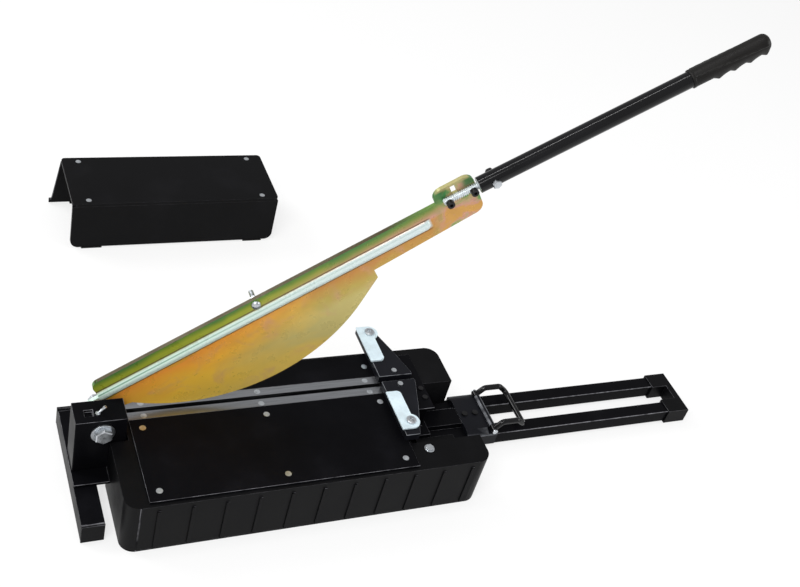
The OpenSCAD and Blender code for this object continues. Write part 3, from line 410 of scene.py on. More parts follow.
def rubber_finish():
    return cloudy_finish(
        "soft_rubber",
        tone("rubber"),
        metallic=0.0,
        rough=0.48,
        clouds=(60.0, 4.0),
        tones=[(0.3, 0.8), (0.6, 1.0), (0.85, 1.6)],
        gloss=(0.3, 0.7, 0.40, 0.56),
        grain=(1700.0, 3.0, 0.2, 0.3 * MM),
        specular=0.20,
    ).mat


# Tints of the blade's plating, between its main colours, and tints painted as highlight, reflection and shade on
# the bead and as reflection on the ear
DUSK = (0.80, 0.56, 0.12)
AMBER = (0.84, 0.55, 0.08)
TAWNY = (0.92, 0.45, 0.05)
DULL_GOLD = (0.66, 0.48, 0.12)
GREY_OLIVE = (0.56, 0.47, 0.17)
BROWN_OLIVE = (0.50, 0.38, 0.09)
RUST = (0.54, 0.25, 0.06)
MOSS = (0.30, 0.34, 0.05)
FERN = (0.15, 0.24, 0.03)
TAN_OLIVE = (0.36, 0.27, 0.10)
DEEP_FERN = (0.17, 0.25, 0.05)
# Painted highlight on the bead, towards its far end
SILVER_HIGHLIGHT = (0.66, 0.76, 0.76)
# Painted reflection: a green line along the round of the bead
REFLECTION_LINE_GREEN = (0.04, 0.20, 0.10)
COPPER = (0.72, 0.34, 0.20)
# Painted shade in the creases over and under the bead
CREASE_SHADE_BROWN = (0.10, 0.06, 0.02)
EAR_GREEN = (0.09, 0.30, 0.09)
EAR_MOSS = (0.30, 0.33, 0.12)
EAR_TAN = (0.46, 0.36, 0.17)
EAR_RUST = (0.60, 0.32, 0.08)
# Painted reflection of the cap screws in the ear, on both sides of the lobe
LOBE_REFLECTION_GREEN = (0.03, 0.17, 0.055)
RIM_TAN = (0.42, 0.38, 0.17)
EDGE_BROWN = (0.05, 0.038, 0.012)

# Where one tint turns into the next, in metres from the pivot.
# U runs along the lever and V across it, and each pair is a start and an end.
WEB_V = (-0.096, 0.0385)
WEB_TURN_U = (0.13, 0.30)
STRIP_FOOT_V = (0.020, 0.024)
STRIP_V = (0.022, 0.039)
STRIP_TURN_U = (0.20, 0.38)
BEAD_V = ((0.0075, 0.0100), (0.0238, 0.0215))
BEAD_FOOT_V = (0.0080, 0.0112)
HIGHLIGHT_TURN_U = (0.12, 0.40)
BEAD_END_U = (0.4525, 0.4490)
# Painted reflection line: where it runs across the bead, and its fade along it
REFLECTION_LINE_V = ((0.0188, 0.0194), (0.0208, 0.0200))
REFLECTION_LINE_FADE_U = (0.30, 0.05)
# Painted shade: the creases over and under the bead
SHADE_OVER_BEAD_V = ((0.0224, 0.0230), (0.0250, 0.0244))
SHADE_UNDER_BEAD_V = ((0.0060, 0.0066), (0.0084, 0.0078))
EAR_U = (0.448, 0.474)
EAR_V = (0.0, 0.060)
LOBE_MIDDLE_U = 0.4905
LOBE_ASIDE_U = (0.007, 0.016)
LOBE_V = (0.038, 0.045)
LOBE_RIM_V = (0.0525, 0.0550)
TOP_EDGE_V = (0.034, 0.036)
TOP_EDGE_END_U = (0.46, 0.40)


def plated_web(f, at, v, drift, wander):
    """Gold and orange near the pivot, dull olive further out, and pink patches."""
    across = f.span(f.calc("ADD", v, drift), *WEB_V)
    gold, orange, olive = tone("gold"), tone("orange"), tone("olive")
    near = f.ramp(
        across,
        [(0.0, DUSK), (0.20, AMBER), (0.42, gold), (0.58, TAWNY), (0.76, orange), (0.84, olive)],
    )
    far = f.ramp(
        across,
        [
            (0.0, DULL_GOLD),
            (0.25, GREY_OLIVE),
            (0.46, GREY_OLIVE),
            (0.60, BROWN_OLIVE),
            (0.76, RUST),
        ],
    )
    web = f.mix(f.span(wander, *WEB_TURN_U), near, far)
    patch = f.noise(at, scale=26.0, detail=4.0, rough=0.6, distortion=0.7)
    return f.mix(f.span(patch, 0.53, 0.72, 0.0, 0.5), web, tone("blush"))


def plated_strip(f, v, drift, wander):
    """Olive over the bead, turning green towards the top edge."""
    lift = f.span(f.calc("ADD", v, f.calc("MULTIPLY", drift, 0.25)), *STRIP_V)
    olive, leaf, blush = tone("olive"), tone("leaf"), tone("blush")
    near = f.ramp(lift, [(0.0, MOSS), (0.45, olive), (0.80, FERN), (1.0, leaf)])
    far = f.ramp(lift, [(0.0, blush), (0.35, TAN_OLIVE), (0.65, DEEP_FERN), (1.0, leaf)])
    return f.mix(f.span(wander, *STRIP_TURN_U), near, far)


def bead_plating_and_light(f, u, v, blade):
    """Bead with a light painted highlight on its round, a green painted reflection line along it, a copper foot,
    and a dark painted shade in the crease on each side.
    """
    bead = f.calc("MULTIPLY", f.band(v, *BEAD_V), f.span(u, *BEAD_END_U))
    # The painted highlight runs from a greener tint near the pivot to silver further out
    painted_highlight = f.mix(f.span(u, *HIGHLIGHT_TURN_U), tone("bead_highlight"), SILVER_HIGHLIGHT)
    # A green line along the bead, painted as a reflection
    painted_reflection_line = f.calc("MULTIPLY", f.band(v, *REFLECTION_LINE_V), f.span(u, *REFLECTION_LINE_FADE_U, 0.15, 0.75))
    painted_highlight = f.mix(painted_reflection_line, painted_highlight, REFLECTION_LINE_GREEN)
    blade = f.mix(bead, blade, f.mix(f.span(v, *BEAD_FOOT_V), COPPER, painted_highlight))
    # Dark lines over and under the bead, painted as shade in its creases
    creases = f.calc("ADD", f.band(v, *SHADE_OVER_BEAD_V), f.band(v, *SHADE_UNDER_BEAD_V))
    crease = f.calc("MULTIPLY", creases, f.span(u, *BEAD_END_U, 0.0, 0.80))
    return f.mix(crease, blade, CREASE_SHADE_BROWN)


def ear_plating_and_reflection(f, at, u, v):
    """Tan and green spots, dark green patches at both sides of the lobe that are a painted reflection of the cap
    screws, and a tan rim along its top.
    """
    spot = f.noise(at, scale=48.0, detail=3.0, rough=0.5, distortion=0.5)
    shift = f.calc("ADD", f.span(v, *EAR_V, 0.28, -0.10), f.span(spot, 0.25, 0.75))
    blush = tone("blush")
    ear = f.ramp(
        shift,
        [(0.26, EAR_GREEN), (0.42, EAR_MOSS), (0.56, EAR_TAN), (0.72, blush), (0.88, EAR_RUST)],
    )
    # Dark green patches on both sides of the lobe, painted as the cap screws' reflection
    off_middle = f.calc("ABSOLUTE", f.calc("SUBTRACT", u, LOBE_MIDDLE_U))
    lobe = f.calc("MULTIPLY", f.span(off_middle, *LOBE_ASIDE_U), f.span(v, *LOBE_V))
    ear = f.mix(f.calc("MULTIPLY", lobe, 0.85), ear, LOBE_REFLECTION_GREEN)
    return f.mix(f.span(v, *LOBE_RIM_V, 0.0, 0.9), ear, RIM_TAN)


def plated_edge(f, u, v, body):
    """Darkens the narrow top edge of the strip, up to the ear."""
    angle = sizes().lever_angle
    up = f.add("ShaderNodeVectorMath", operation="DOT_PRODUCT")
    up.inputs[1].default_value = (-math.sin(angle), 0.0, math.cos(angle))
    f.link(f.add("ShaderNodeTexCoord").outputs["Normal"], up.inputs[0])
    edge = f.calc("MULTIPLY", f.span(up.outputs["Value"], 0.88, 0.98), f.span(v, *TOP_EDGE_V))
    return f.mix(f.calc("MULTIPLY", edge, f.span(u, *TOP_EDGE_END_U)), body, EDGE_BROWN)


def plated_finish():
    """Iridescent yellow zinc: gold web, a bead with a painted highlight, reflection line and shade beside it,
    olive strip, and a green and tan ear with a painted reflection of the cap screws.
    """
    f = Finish("yellow_zinc", tone("gold"), metallic=0.25, rough=0.36, specular=0.25)
    pivot, turn = lever_pivot(), (0, -sizes().lever_angle, 0)
    at = f.place(pivot, turn)
    split = f.add("ShaderNodeSeparateXYZ")
    f.link(at, split.inputs["Vector"])
    u, v = split.outputs["X"], split.outputs["Z"]
    stretched = f.place(pivot, turn, (1.8, 1.0, 1.0))
    broad = f.noise(stretched, scale=17.0, detail=3.0, distortion=0.5)
    drift = f.span(broad, 0.25, 0.75, -0.016, 0.016)
    wander = f.calc("ADD", u, f.calc("MULTIPLY", drift, 5.0))
    web = plated_web(f, at, v, drift, wander)
    strip = plated_strip(f, v, drift, wander)
    blade = bead_plating_and_light(f, u, v, f.mix(f.span(v, *STRIP_FOOT_V), web, strip))
    ear = ear_plating_and_reflection(f, at, u, v)
    body = f.mix(f.span(f.calc("ADD", u, drift), *EAR_U), blade, ear)
    f.base(plated_edge(f, u, v, body))
    fine = f.noise(at, scale=60.0, detail=3.0)
    f.rough(f.span(fine, 0.3, 0.7, 0.24, 0.36))
    f.bump(fine, strength=0.01, distance=0.4 * MM)
    return f.mat


FINISHES = {
    "black_moulding": moulded_finish,
    "black_steel": painted_finish,
    "black_gloss_tube": tube_finish,
    "zinc": zinc_finish,
    "bright_rod": rod_finish,
    "tool_steel": ground_finish,
    "yellow_zinc": plated_finish,
    "bronze": bronze_finish,
    "black_oxide": oxide_finish,
    "light_plate": plate_finish,
    "rubber": rubber_finish,
    "slate": slate_finish,
}
MADE = {}


def finish_of(name):
    if name not in MADE:
        MADE[name] = FINISHES[name]()
    return MADE[name]


def paint(piece, name):
    piece.data.materials.clear()
    piece.data.materials.append(finish_of(name))


# Places of the joints and on the lever


def joint_place(name):
    return Vector(next(j["pos_m"] for j in frame["joints"] if j["name"] == name))


def lever_pivot():
    pivot = joint_place("lever_pivot")
    return Vector((pivot.x, 0.0, pivot.z))


def lever_frame():
    return Matrix.Translation(lever_pivot()) @ Matrix.Rotation(-sizes().lever_angle, 4, "Y")


def handle_frame():
    """Frame with its X on the axis of the tube, which drops a little from the lever's line."""
    low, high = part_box("handle_tube")
    turn = Matrix.Rotation(sizes().handle_tilt - sizes().lever_angle, 4, "Y")
    return Matrix.Translation((low + high) / 2) @ turn


def span_in(place, node):
    """Lowest and highest corner of a node in a frame."""
    back = place.inverted()
    points = [back @ vert.co for vert in NODES[node].data.vertices]
    low = Vector(min(p[i] for p in points) for i in range(3))
    high = Vector(max(p[i] for p in points) for i in range(3))
    return low, high


# Modelling helpers

MERGE = 0.002 * MM
FLAT = math.radians(0.6)
SHARP = math.radians(38)
# Depth of a thread, and the places of its root and crest, as shares of the pitch
THREAD_DEPTH = 0.43
THREAD_ROOT, CREST_START, CREST_END = 0.12, 0.5, 0.62
# Shares of a domed head's radius and height, from its foot to its top
DOME = ((1.0, 0.0), (1.0, 0.35), (0.93, 0.7), (0.72, 0.94), (0.4, 1.0))
# Turn of the two arms of a cross recess, in degrees
RECESS_ARMS = (25, 115)


def clear_selection():
    if bpy.context.object is not None and bpy.context.object.mode != "OBJECT":
        bpy.ops.object.mode_set(mode="OBJECT")
    bpy.ops.object.select_all(action="DESELECT")


def activate(piece):
    clear_selection()
    piece.select_set(True)
    bpy.context.view_layer.objects.active = piece


def settle(piece, name, body, finish, node, smooth=40.0):
    """Applies the place, shades and paints the piece, and puts it on a body in a node's stead."""
    piece.name = name
    piece.data.name = name
    activate(piece)
    bpy.ops.object.transform_apply(location=True, rotation=True, scale=True)
    bpy.ops.object.shade_smooth_by_angle(angle=math.radians(smooth))
    paint(piece, finish)
    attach(piece, body)
    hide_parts(node)


def rounded_copy(node, width, segments=2, finish=None, shortest=4.0 * MM):
    """Puts a merged copy in a CAD node's stead, with its long sharp edges rounded."""
    name = node + "_rounded"
    piece = bpy.data.objects.new(name, NODES[node].data.copy())
    bpy.context.scene.collection.objects.link(piece)
    activate(piece)
    bpy.ops.object.mode_set(mode="EDIT")
    bpy.ops.mesh.select_all(action="SELECT")
    bpy.ops.mesh.remove_doubles(threshold=MERGE)
    bpy.ops.mesh.dissolve_limited(angle_limit=FLAT)
    bpy.ops.mesh.select_mode(type="EDGE")
    bpy.ops.mesh.select_all(action="DESELECT")
    bpy.ops.mesh.edges_select_sharp(sharpness=SHARP)
    shape = bmesh.from_edit_mesh(piece.data)
    for edge in shape.edges:
        if edge.select and edge.calc_length() < shortest:
            edge.select = False
    shape.select_flush_mode()
    bmesh.update_edit_mesh(piece.data)
    if any(edge.select for edge in shape.edges):
        bpy.ops.mesh.bevel(
            offset=width, segments=segments, profile=0.5, affect="EDGES", clamp_overlap=True
        )
    bpy.ops.object.mode_set(mode="OBJECT")
    settle(piece, name, BODY_OF[node], finish or SLOT_OF[node], node)
    weigh_normals(piece)


def weigh_normals(piece):
    """Lets large faces lead the shading, so that flats stay flat next to rounded edges."""
    activate(piece)
    weigh = piece.modifiers.new("weighted_normals", "WEIGHTED_NORMAL")
    weigh.weight = 80
    weigh.keep_sharp = True
    bpy.ops.object.modifier_apply(modifier=weigh.name)


def turned(profile, sides=40):
    """A solid turned on Z from (radius, height) pairs, drawn up ring by ring."""
    clear_selection()
    radius, height = profile[0]
    bpy.ops.mesh.primitive_circle_add(
        vertices=sides, radius=radius, fill_type="NGON", location=(0, 0, 0)
    )
    piece = bpy.context.object
    bpy.ops.object.mode_set(mode="EDIT")
    bpy.ops.mesh.select_all(action="SELECT")
    bpy.ops.transform.translate(value=(0, 0, height))
    for next_radius, next_height in profile[1:]:
        rise = (0, 0, next_height - height)
        bpy.ops.mesh.extrude_region_move(TRANSFORM_OT_translate={"value": rise})
        factor = next_radius / radius
        bpy.ops.transform.resize(value=(factor, factor, 1.0), center_override=(0, 0, next_height))
        radius, height = next_radius, next_height
    bpy.ops.mesh.select_all(action="SELECT")
    bpy.ops.mesh.normals_make_consistent(inside=False)
    bpy.ops.object.mode_set(mode="OBJECT")
    return piece


def joined(pieces):
    clear_selection()
    for piece in pieces:
        piece.select_set(True)
    bpy.context.view_layer.objects.active = pieces[0]
    bpy.ops.object.join()
    return pieces[0]


def moved(piece, matrix):
    piece.matrix_world = matrix
    activate(piece)
    bpy.ops.object.transform_apply(location=True, rotation=True, scale=True)


def facing(place, direction):
    """A frame at a place whose Z runs along a direction."""
    turn = Vector((0, 0, 1)).rotation_difference(Vector(direction).normalized())
    return Matrix.Translation(place) @ turn.to_matrix().to_4x4()


def thread(crest, start, end, pitch):
    """Profile of a thread as rings of crests and roots between two heights."""
    root = crest - THREAD_DEPTH * pitch
    profile = [(root - 0.3 * MM, start)]
    for i in range(int((end - start) / pitch)):
        for radius, share in ((root, THREAD_ROOT), (crest, CREST_START), (crest, CREST_END)):
            profile.append((radius, start + (i + share) * pitch))
    return profile + [(root, end)]


def hex_head(radius, height):
    """A hexagon with its corners turned down to a round crown."""
    foot, crown = radius * 0.97, radius * 0.86
    profile = [(foot, 0.0), (radius, 0.4 * MM), (radius, height - 0.9 * MM), (crown, height)]
    return turned(profile, sides=6)


def cut_recess(piece, across, width, depth, top):
    """Sinks a cross recess into the top of a turned screw head."""
    for degrees in RECESS_ARMS:
        clear_selection()
        bpy.ops.mesh.primitive_cube_add(size=1.0, location=(0, 0, top))
        tool = bpy.context.object
        tool.scale = (across, width, depth * 2)
        tool.rotation_euler = (0, 0, math.radians(degrees))
        bpy.ops.object.transform_apply(location=True, rotation=True, scale=True)
        activate(piece)
        cut = piece.modifiers.new("recess", "BOOLEAN")
        cut.operation = "DIFFERENCE"
        cut.solver = "EXACT"
        cut.object = tool
        bpy.ops.object.modifier_apply(modifier=cut.name)
        bpy.data.objects.remove(tool)


def pan_screw(radius, height):
    """A low domed screw head with a cross recess."""
    piece = turned([(radius * r, height * h) for r, h in DOME])
    across, width = radius * 1.15, radius * 0.28
    cut_recess(piece, across, width, depth=height * 0.55, top=height)
    return piece


# Operators, one for each piece or group of like pieces


class CUTTER_OT_base(bpy.types.Operator):
    """Moulded base, its bed plates, bottom plate and anvils"""

    bl_idname = "cutter.base"
    bl_label = "Base"

    def execute(self, context):
        rounded_copy("base_shell", sizes().moulding_round, segments=3, shortest=12 * MM)
        for node in ("bed_front", "bed_rear", "base_bottom"):
            rounded_copy(node, 0.4 * MM, shortest=10 * MM)
        for node in ("anvil_front", "anvil_rear"):
            rounded_copy(node, 0.25 * MM, shortest=6 * MM)
        for node in ("rail_guide_front", "rail_guide_rear"):
            rounded_copy(node, sizes().edge_round)
        return {"FINISHED"}


class CUTTER_OT_post(bpy.types.Operator):
    """Pivot post, bridge plate and skid bar with its plugs"""

    bl_idname = "cutter.post"
    bl_label = "Post and skid"

    def execute(self, context):
        rounded_copy("pivot_post", 1.0 * MM, segments=3, shortest=6 * MM)
        rounded_copy("bridge_plate", sizes().edge_round)
        rounded_copy("skid_bar", 1.2 * MM, segments=3, shortest=20 * MM)
        rounded_copy("skid_plugs", 0.8 * MM)
        return {"FINISHED"}


class CUTTER_OT_blade(bpy.types.Operator):
    """Blade with its stiffening bead and ear"""

    bl_idname = "cutter.blade"
    bl_label = "Blade"

    def execute(self, context):
        rounded_copy("blade", 0.5 * MM, shortest=2.5 * MM)
        return {"FINISHED"}


class CUTTER_OT_handle(bpy.types.Operator):
    """Threaded stud, its cap screws and nuts, and the tube"""

    bl_idname = "cutter.handle"
    bl_label = "Handle"

    def execute(self, context):
        self.stud()
        rounded_copy("stud_screws", 0.4 * MM, shortest=0.5 * MM)
        rounded_copy("stud_nuts", 0.3 * MM, shortest=2 * MM)
        rounded_copy("handle_tube", 0.5 * MM, shortest=0.5 * MM)
        return {"FINISHED"}

    def stud(self):
        """The rod is threaded on the ear and plain inside the tube."""
        place = handle_frame()
        low, high = span_in(place, "handle_stud")
        tube = span_in(place, "handle_tube")[0].x
        plug = (high.y - low.y) / 2
        crest, chamfer, run = 4.5 * MM, 0.6 * MM, 0.7 * MM
        profile = thread(crest, low.x, tube, sizes().thread_pitch)
        profile += [
            (plug - chamfer, tube + 0.05 * MM),
            (plug, tube + run),
            (plug, high.x - run),
            (plug - chamfer, high.x),
        ]
        rod = turned(profile, sides=32)
        moved(rod, place @ ON_X)
        self.flatten(rod, place, tube - 1.0 * MM)
        settle(rod, "threaded_stud", "lever", "bright_rod", "handle_stud", smooth=30)

    def flatten(self, rod, place, end):
        """Presses the rod's back flat where it lies on the ear, up to an end before the tube."""
        back = place.inverted()
        solid = NODES["handle_stud"].data.vertices
        ear = max(vert.co.y for vert in solid if (back @ vert.co).x < end)
        activate(rod)
        bpy.ops.object.mode_set(mode="EDIT")
        shape = bmesh.from_edit_mesh(rod.data)
        for vert in shape.verts:
            if (back @ vert.co).x < end:
                vert.co.y = min(vert.co.y, ear)
        bmesh.update_edit_mesh(rod.data)
        bpy.ops.object.mode_set(mode="OBJECT")


class CUTTER_OT_grip(bpy.types.Operator):
    """Rubber grip with finger bumps underneath and a ridge along each flank"""

    bl_idname = "cutter.grip"
    bl_label = "Grip"

    BORE = 10.2 * MM
    RINGS, SIDES = 84, 120
    # Rounded end: its length, and the shares of it at which a ring is drawn
    NOSE = 8.0 * MM
    NOSE_RINGS = (0.72, 0.48, 0.28, 0.12, 0.03)
    # From the ring to the first finger tip
    FIRST_TIP = 33.2 * MM
    # Shares of the bumps' pitch: the slow side of each, and the rise to the first
    SLOW_SIDE, FIRST_RISE = 0.72, 0.34
    # Height of the valleys between bumps, as a share of the depth
    VALLEY = 0.2
    # Degrees from the underside at the ring, their fall towards the end, and half the width
    RIDGE_AT, RIDGE_FALL, RIDGE_HALF = 133.0, 30.0, 6.0
    RIDGE_HEIGHT = 0.9 * MM
    # Rings narrower than this, the ring's collar and the nose's tip keep their shape
    CORE, COLLAR, TIP = 9.0 * MM, 4.8 * MM, 4.0 * MM
    # How far down a point looks, where the bumps start and until they are full
    UNDER_START, UNDER_FULL = 0.1, 0.65

    def execute(self, context):
        place = handle_frame()
        low, high = span_in(place, "handle_grip")
        start, end = low.x, high.x
        ring = (high.y - low.y) / 2
        radius = ring - 0.4 * MM
        profile = [
            (self.BORE, start),
            (ring - 0.5 * MM, start),
            (ring, start + 0.5 * MM),
            (ring, start + 3.4 * MM),
            (ring - 0.5 * MM, start + 4.0 * MM),
            (radius, start + 4.3 * MM),
        ]
        barrel = start + 5.0 * MM
        for i in range(self.RINGS + 1):
            profile.append((radius, barrel + i * (end - self.NOSE - barrel) / self.RINGS))
        for share in self.NOSE_RINGS:
            inset = self.NOSE - self.NOSE * math.sqrt(1 - (1 - share) ** 2)
            profile.append((radius - inset, end - self.NOSE * share))
        profile.append((2.0 * MM, end))
        grip = turned(profile, self.SIDES)
        self.shape_sides(grip, start, end)
        moved(grip, place @ ON_X)
        settle(grip, "scalloped_grip", "lever", "rubber", "handle_grip", smooth=50)
        return {"FINISHED"}

    def shape_sides(self, grip, start, end):
        """Draws the underside out into finger bumps and raises a ridge along each flank."""
        depth, pitch = sizes().scallop, sizes().scallop_pitch
        activate(grip)
        bpy.ops.object.mode_set(mode="EDIT")
        shape = bmesh.from_edit_mesh(grip.data)
        for vert in shape.verts:
            reach = math.hypot(vert.co.x, vert.co.y)
            if reach < self.CORE or not start + self.COLLAR < vert.co.z < end - self.TIP:
                continue
            down, flank = vert.co.x / reach, vert.co.y / reach
            if down > self.UNDER_START:
                bump = self.bump(vert.co.z - start - self.FIRST_TIP, pitch)
                fade = min(1.0, (end - vert.co.z) / self.NOSE)
                under = (down - self.UNDER_START) / (self.UNDER_FULL - self.UNDER_START)
                vert.co.x += depth * bump * fade * min(1.0, under)
            # The ridge runs from high on the flank at the ring to lower on it at the far end
            along = (vert.co.z - start) / (end - start)
            side = math.degrees(math.atan2(abs(vert.co.y), vert.co.x))
            off = abs(side - (self.RIDGE_AT - self.RIDGE_FALL * along))
            ridge = self.RIDGE_HEIGHT * max(0.0, 1.0 - off / self.RIDGE_HALF)
            vert.co.x += ridge * down
            vert.co.y += ridge * flank
        bmesh.update_edit_mesh(grip.data)
        bpy.ops.object.mode_set(mode="OBJECT")

    def bump(self, past, pitch):
        """Share of the depth at a distance past the first tip.

        Each bump falls off slowly towards the grip's end and steeply towards the ring.
        """
        if past < 0.0:
            return max(0.0, 1.0 + past / (self.FIRST_RISE * pitch))
        phase = (past / pitch) % 1.0
        if phase < self.SLOW_SIDE:
            wave = (1.0 - phase / self.SLOW_SIDE) ** 2
        else:
            wave = (phase - self.SLOW_SIDE) / (1.0 - self.SLOW_SIDE)
        return self.VALLEY + (1.0 - self.VALLEY) * wave


class CUTTER_OT_bolts(bpy.types.Operator):
    """Pivot bolt, handle bolt, web bolt and their nuts, with turned-down heads"""

    bl_idname = "cutter.bolts"
    bl_label = "Bolts and nuts"

    # Height of the solid pivot bolt's head, under which its shank starts
    PIVOT_SEAT = 8.0 * MM
    PIVOT_SHANK = (
        (6.0 * MM, 0.0),
        (6.0 * MM, 46.8 * MM),
        (4.5 * MM, 46.9 * MM),
        (4.5 * MM, 57.0 * MM),
        (4.0 * MM, 57.8 * MM),
    )
    HEAD_HEIGHT = 4.5 * MM
    WEB_DOME = (
        (5.8 * MM, 0.0),
        (5.8 * MM, 1.3 * MM),
        (5.3 * MM, 2.5 * MM),
        (4.0 * MM, 3.7 * MM),
        (2.4 * MM, 4.3 * MM),
        (1.0 * MM, HEAD_HEIGHT),
    )
    SMALL_SHANK, SMALL_PITCH = 3.0 * MM, 1.0 * MM

    def execute(self, context):
        self.pivot_bolt()
        rounded_copy("front_washer", 0.35 * MM, shortest=0.2 * MM)
        rounded_copy("rear_washer", 0.3 * MM, shortest=0.2 * MM)
        rounded_copy("pivot_nut", 0.5 * MM, shortest=1 * MM)
        head = hex_head(5.8 * MM, self.HEAD_HEIGHT)
        self.small_bolt("handle_bolt", handle_frame(), head)
        rounded_copy("handle_nut", 0.4 * MM, shortest=1 * MM)
        self.small_bolt("web_bolt", lever_frame(), turned(self.WEB_DOME))
        rounded_copy("web_nut", 0.3 * MM, shortest=1 * MM)
        rounded_copy("grease_nipple", 0.2 * MM, shortest=0.2 * MM)
        rounded_copy("deck_screw", 0.3 * MM, shortest=0.2 * MM)
        return {"FINISHED"}

    def pivot_bolt(self):
        """Head at the front of the post, shank to the rear."""
        low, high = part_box("pivot_bolt")
        centre = (low + high) / 2
        seat = (centre.x, low.y + self.PIVOT_SEAT, centre.z)
        head = hex_head(11.0 * MM, 6.8 * MM)
        moved(head, facing(seat, -REAR))
        shank = turned(self.PIVOT_SHANK, sides=32)
        moved(shank, facing(seat, REAR))
        settle(joined([head, shank]), "pivot_bolt_turned", "base", "zinc", "pivot_bolt", smooth=30)

    def small_bolt(self, node, place, head):
        """A bolt across the lever: its head at the front, its thread out at the rear."""
        low, high = span_in(place, node)
        at = (low + high) / 2
        seat = (at.x, low.y + self.HEAD_HEIGHT, at.z)
        moved(head, place @ facing(seat, -REAR))
        end = high.y - low.y - self.HEAD_HEIGHT
        shank = turned(thread(self.SMALL_SHANK, 0.0, end, self.SMALL_PITCH), sides=24)
        moved(shank, place @ facing(seat, REAR))
        settle(joined([head, shank]), node + "_turned", "lever", "zinc", node, smooth=30)


class CUTTER_OT_fence(bpy.types.Operator):
    """Fence brackets, tie, riser, tongue and cross plate"""

    bl_idname = "cutter.fence"
    bl_label = "Fence"

    def execute(self, context):
        for node in ("fence_bracket_front", "fence_bracket_rear"):
            rounded_copy(node, 0.9 * MM, segments=3, finish="slate", shortest=3 * MM)
        for node in ("fence_tie", "fence_riser", "fence_tongue"):
            rounded_copy(node, sizes().edge_round)
        rounded_copy("cross_plate", 0.9 * MM, segments=3, finish="slate", shortest=3 * MM)
        return {"FINISHED"}


class CUTTER_OT_hold_downs(bpy.types.Operator):
    """Light hold-down plates and the screws they turn on"""

    bl_idname = "cutter.hold_downs"
    bl_label = "Hold-downs"

    PLATES = ("hold_down_front", "hold_down_rear")
    # The screw's head stands a little over its plate, on a stem that starts below it
    HEAD_GAP, STEM_DROP = 0.2 * MM, 13.2 * MM
    STEM = (
        (3.0 * MM, 0.0),
        (3.0 * MM, 10.2 * MM),
        (4.0 * MM, 10.3 * MM),
        (4.0 * MM, 13.4 * MM),
    )

    def execute(self, context):
        for node in self.PLATES:
            rounded_copy(node, 0.7 * MM, segments=3, shortest=0.3 * MM)
        pieces = []
        for node in self.PLATES:
            pin = joint_place(node + "_turn")
            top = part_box(node)[1].z
            head = pan_screw(7.0 * MM, 2.8 * MM)
            moved(head, Matrix.Translation((pin.x, pin.y, top + self.HEAD_GAP)))
            stem = turned(self.STEM, sides=32)
            moved(stem, Matrix.Translation((pin.x, pin.y, top - self.STEM_DROP)))
            pieces += [head, stem]
        screws = joined(pieces)
        settle(screws, "hold_down_screws_turned", "fence", "zinc", "hold_down_screws", smooth=35)
        return {"FINISHED"}


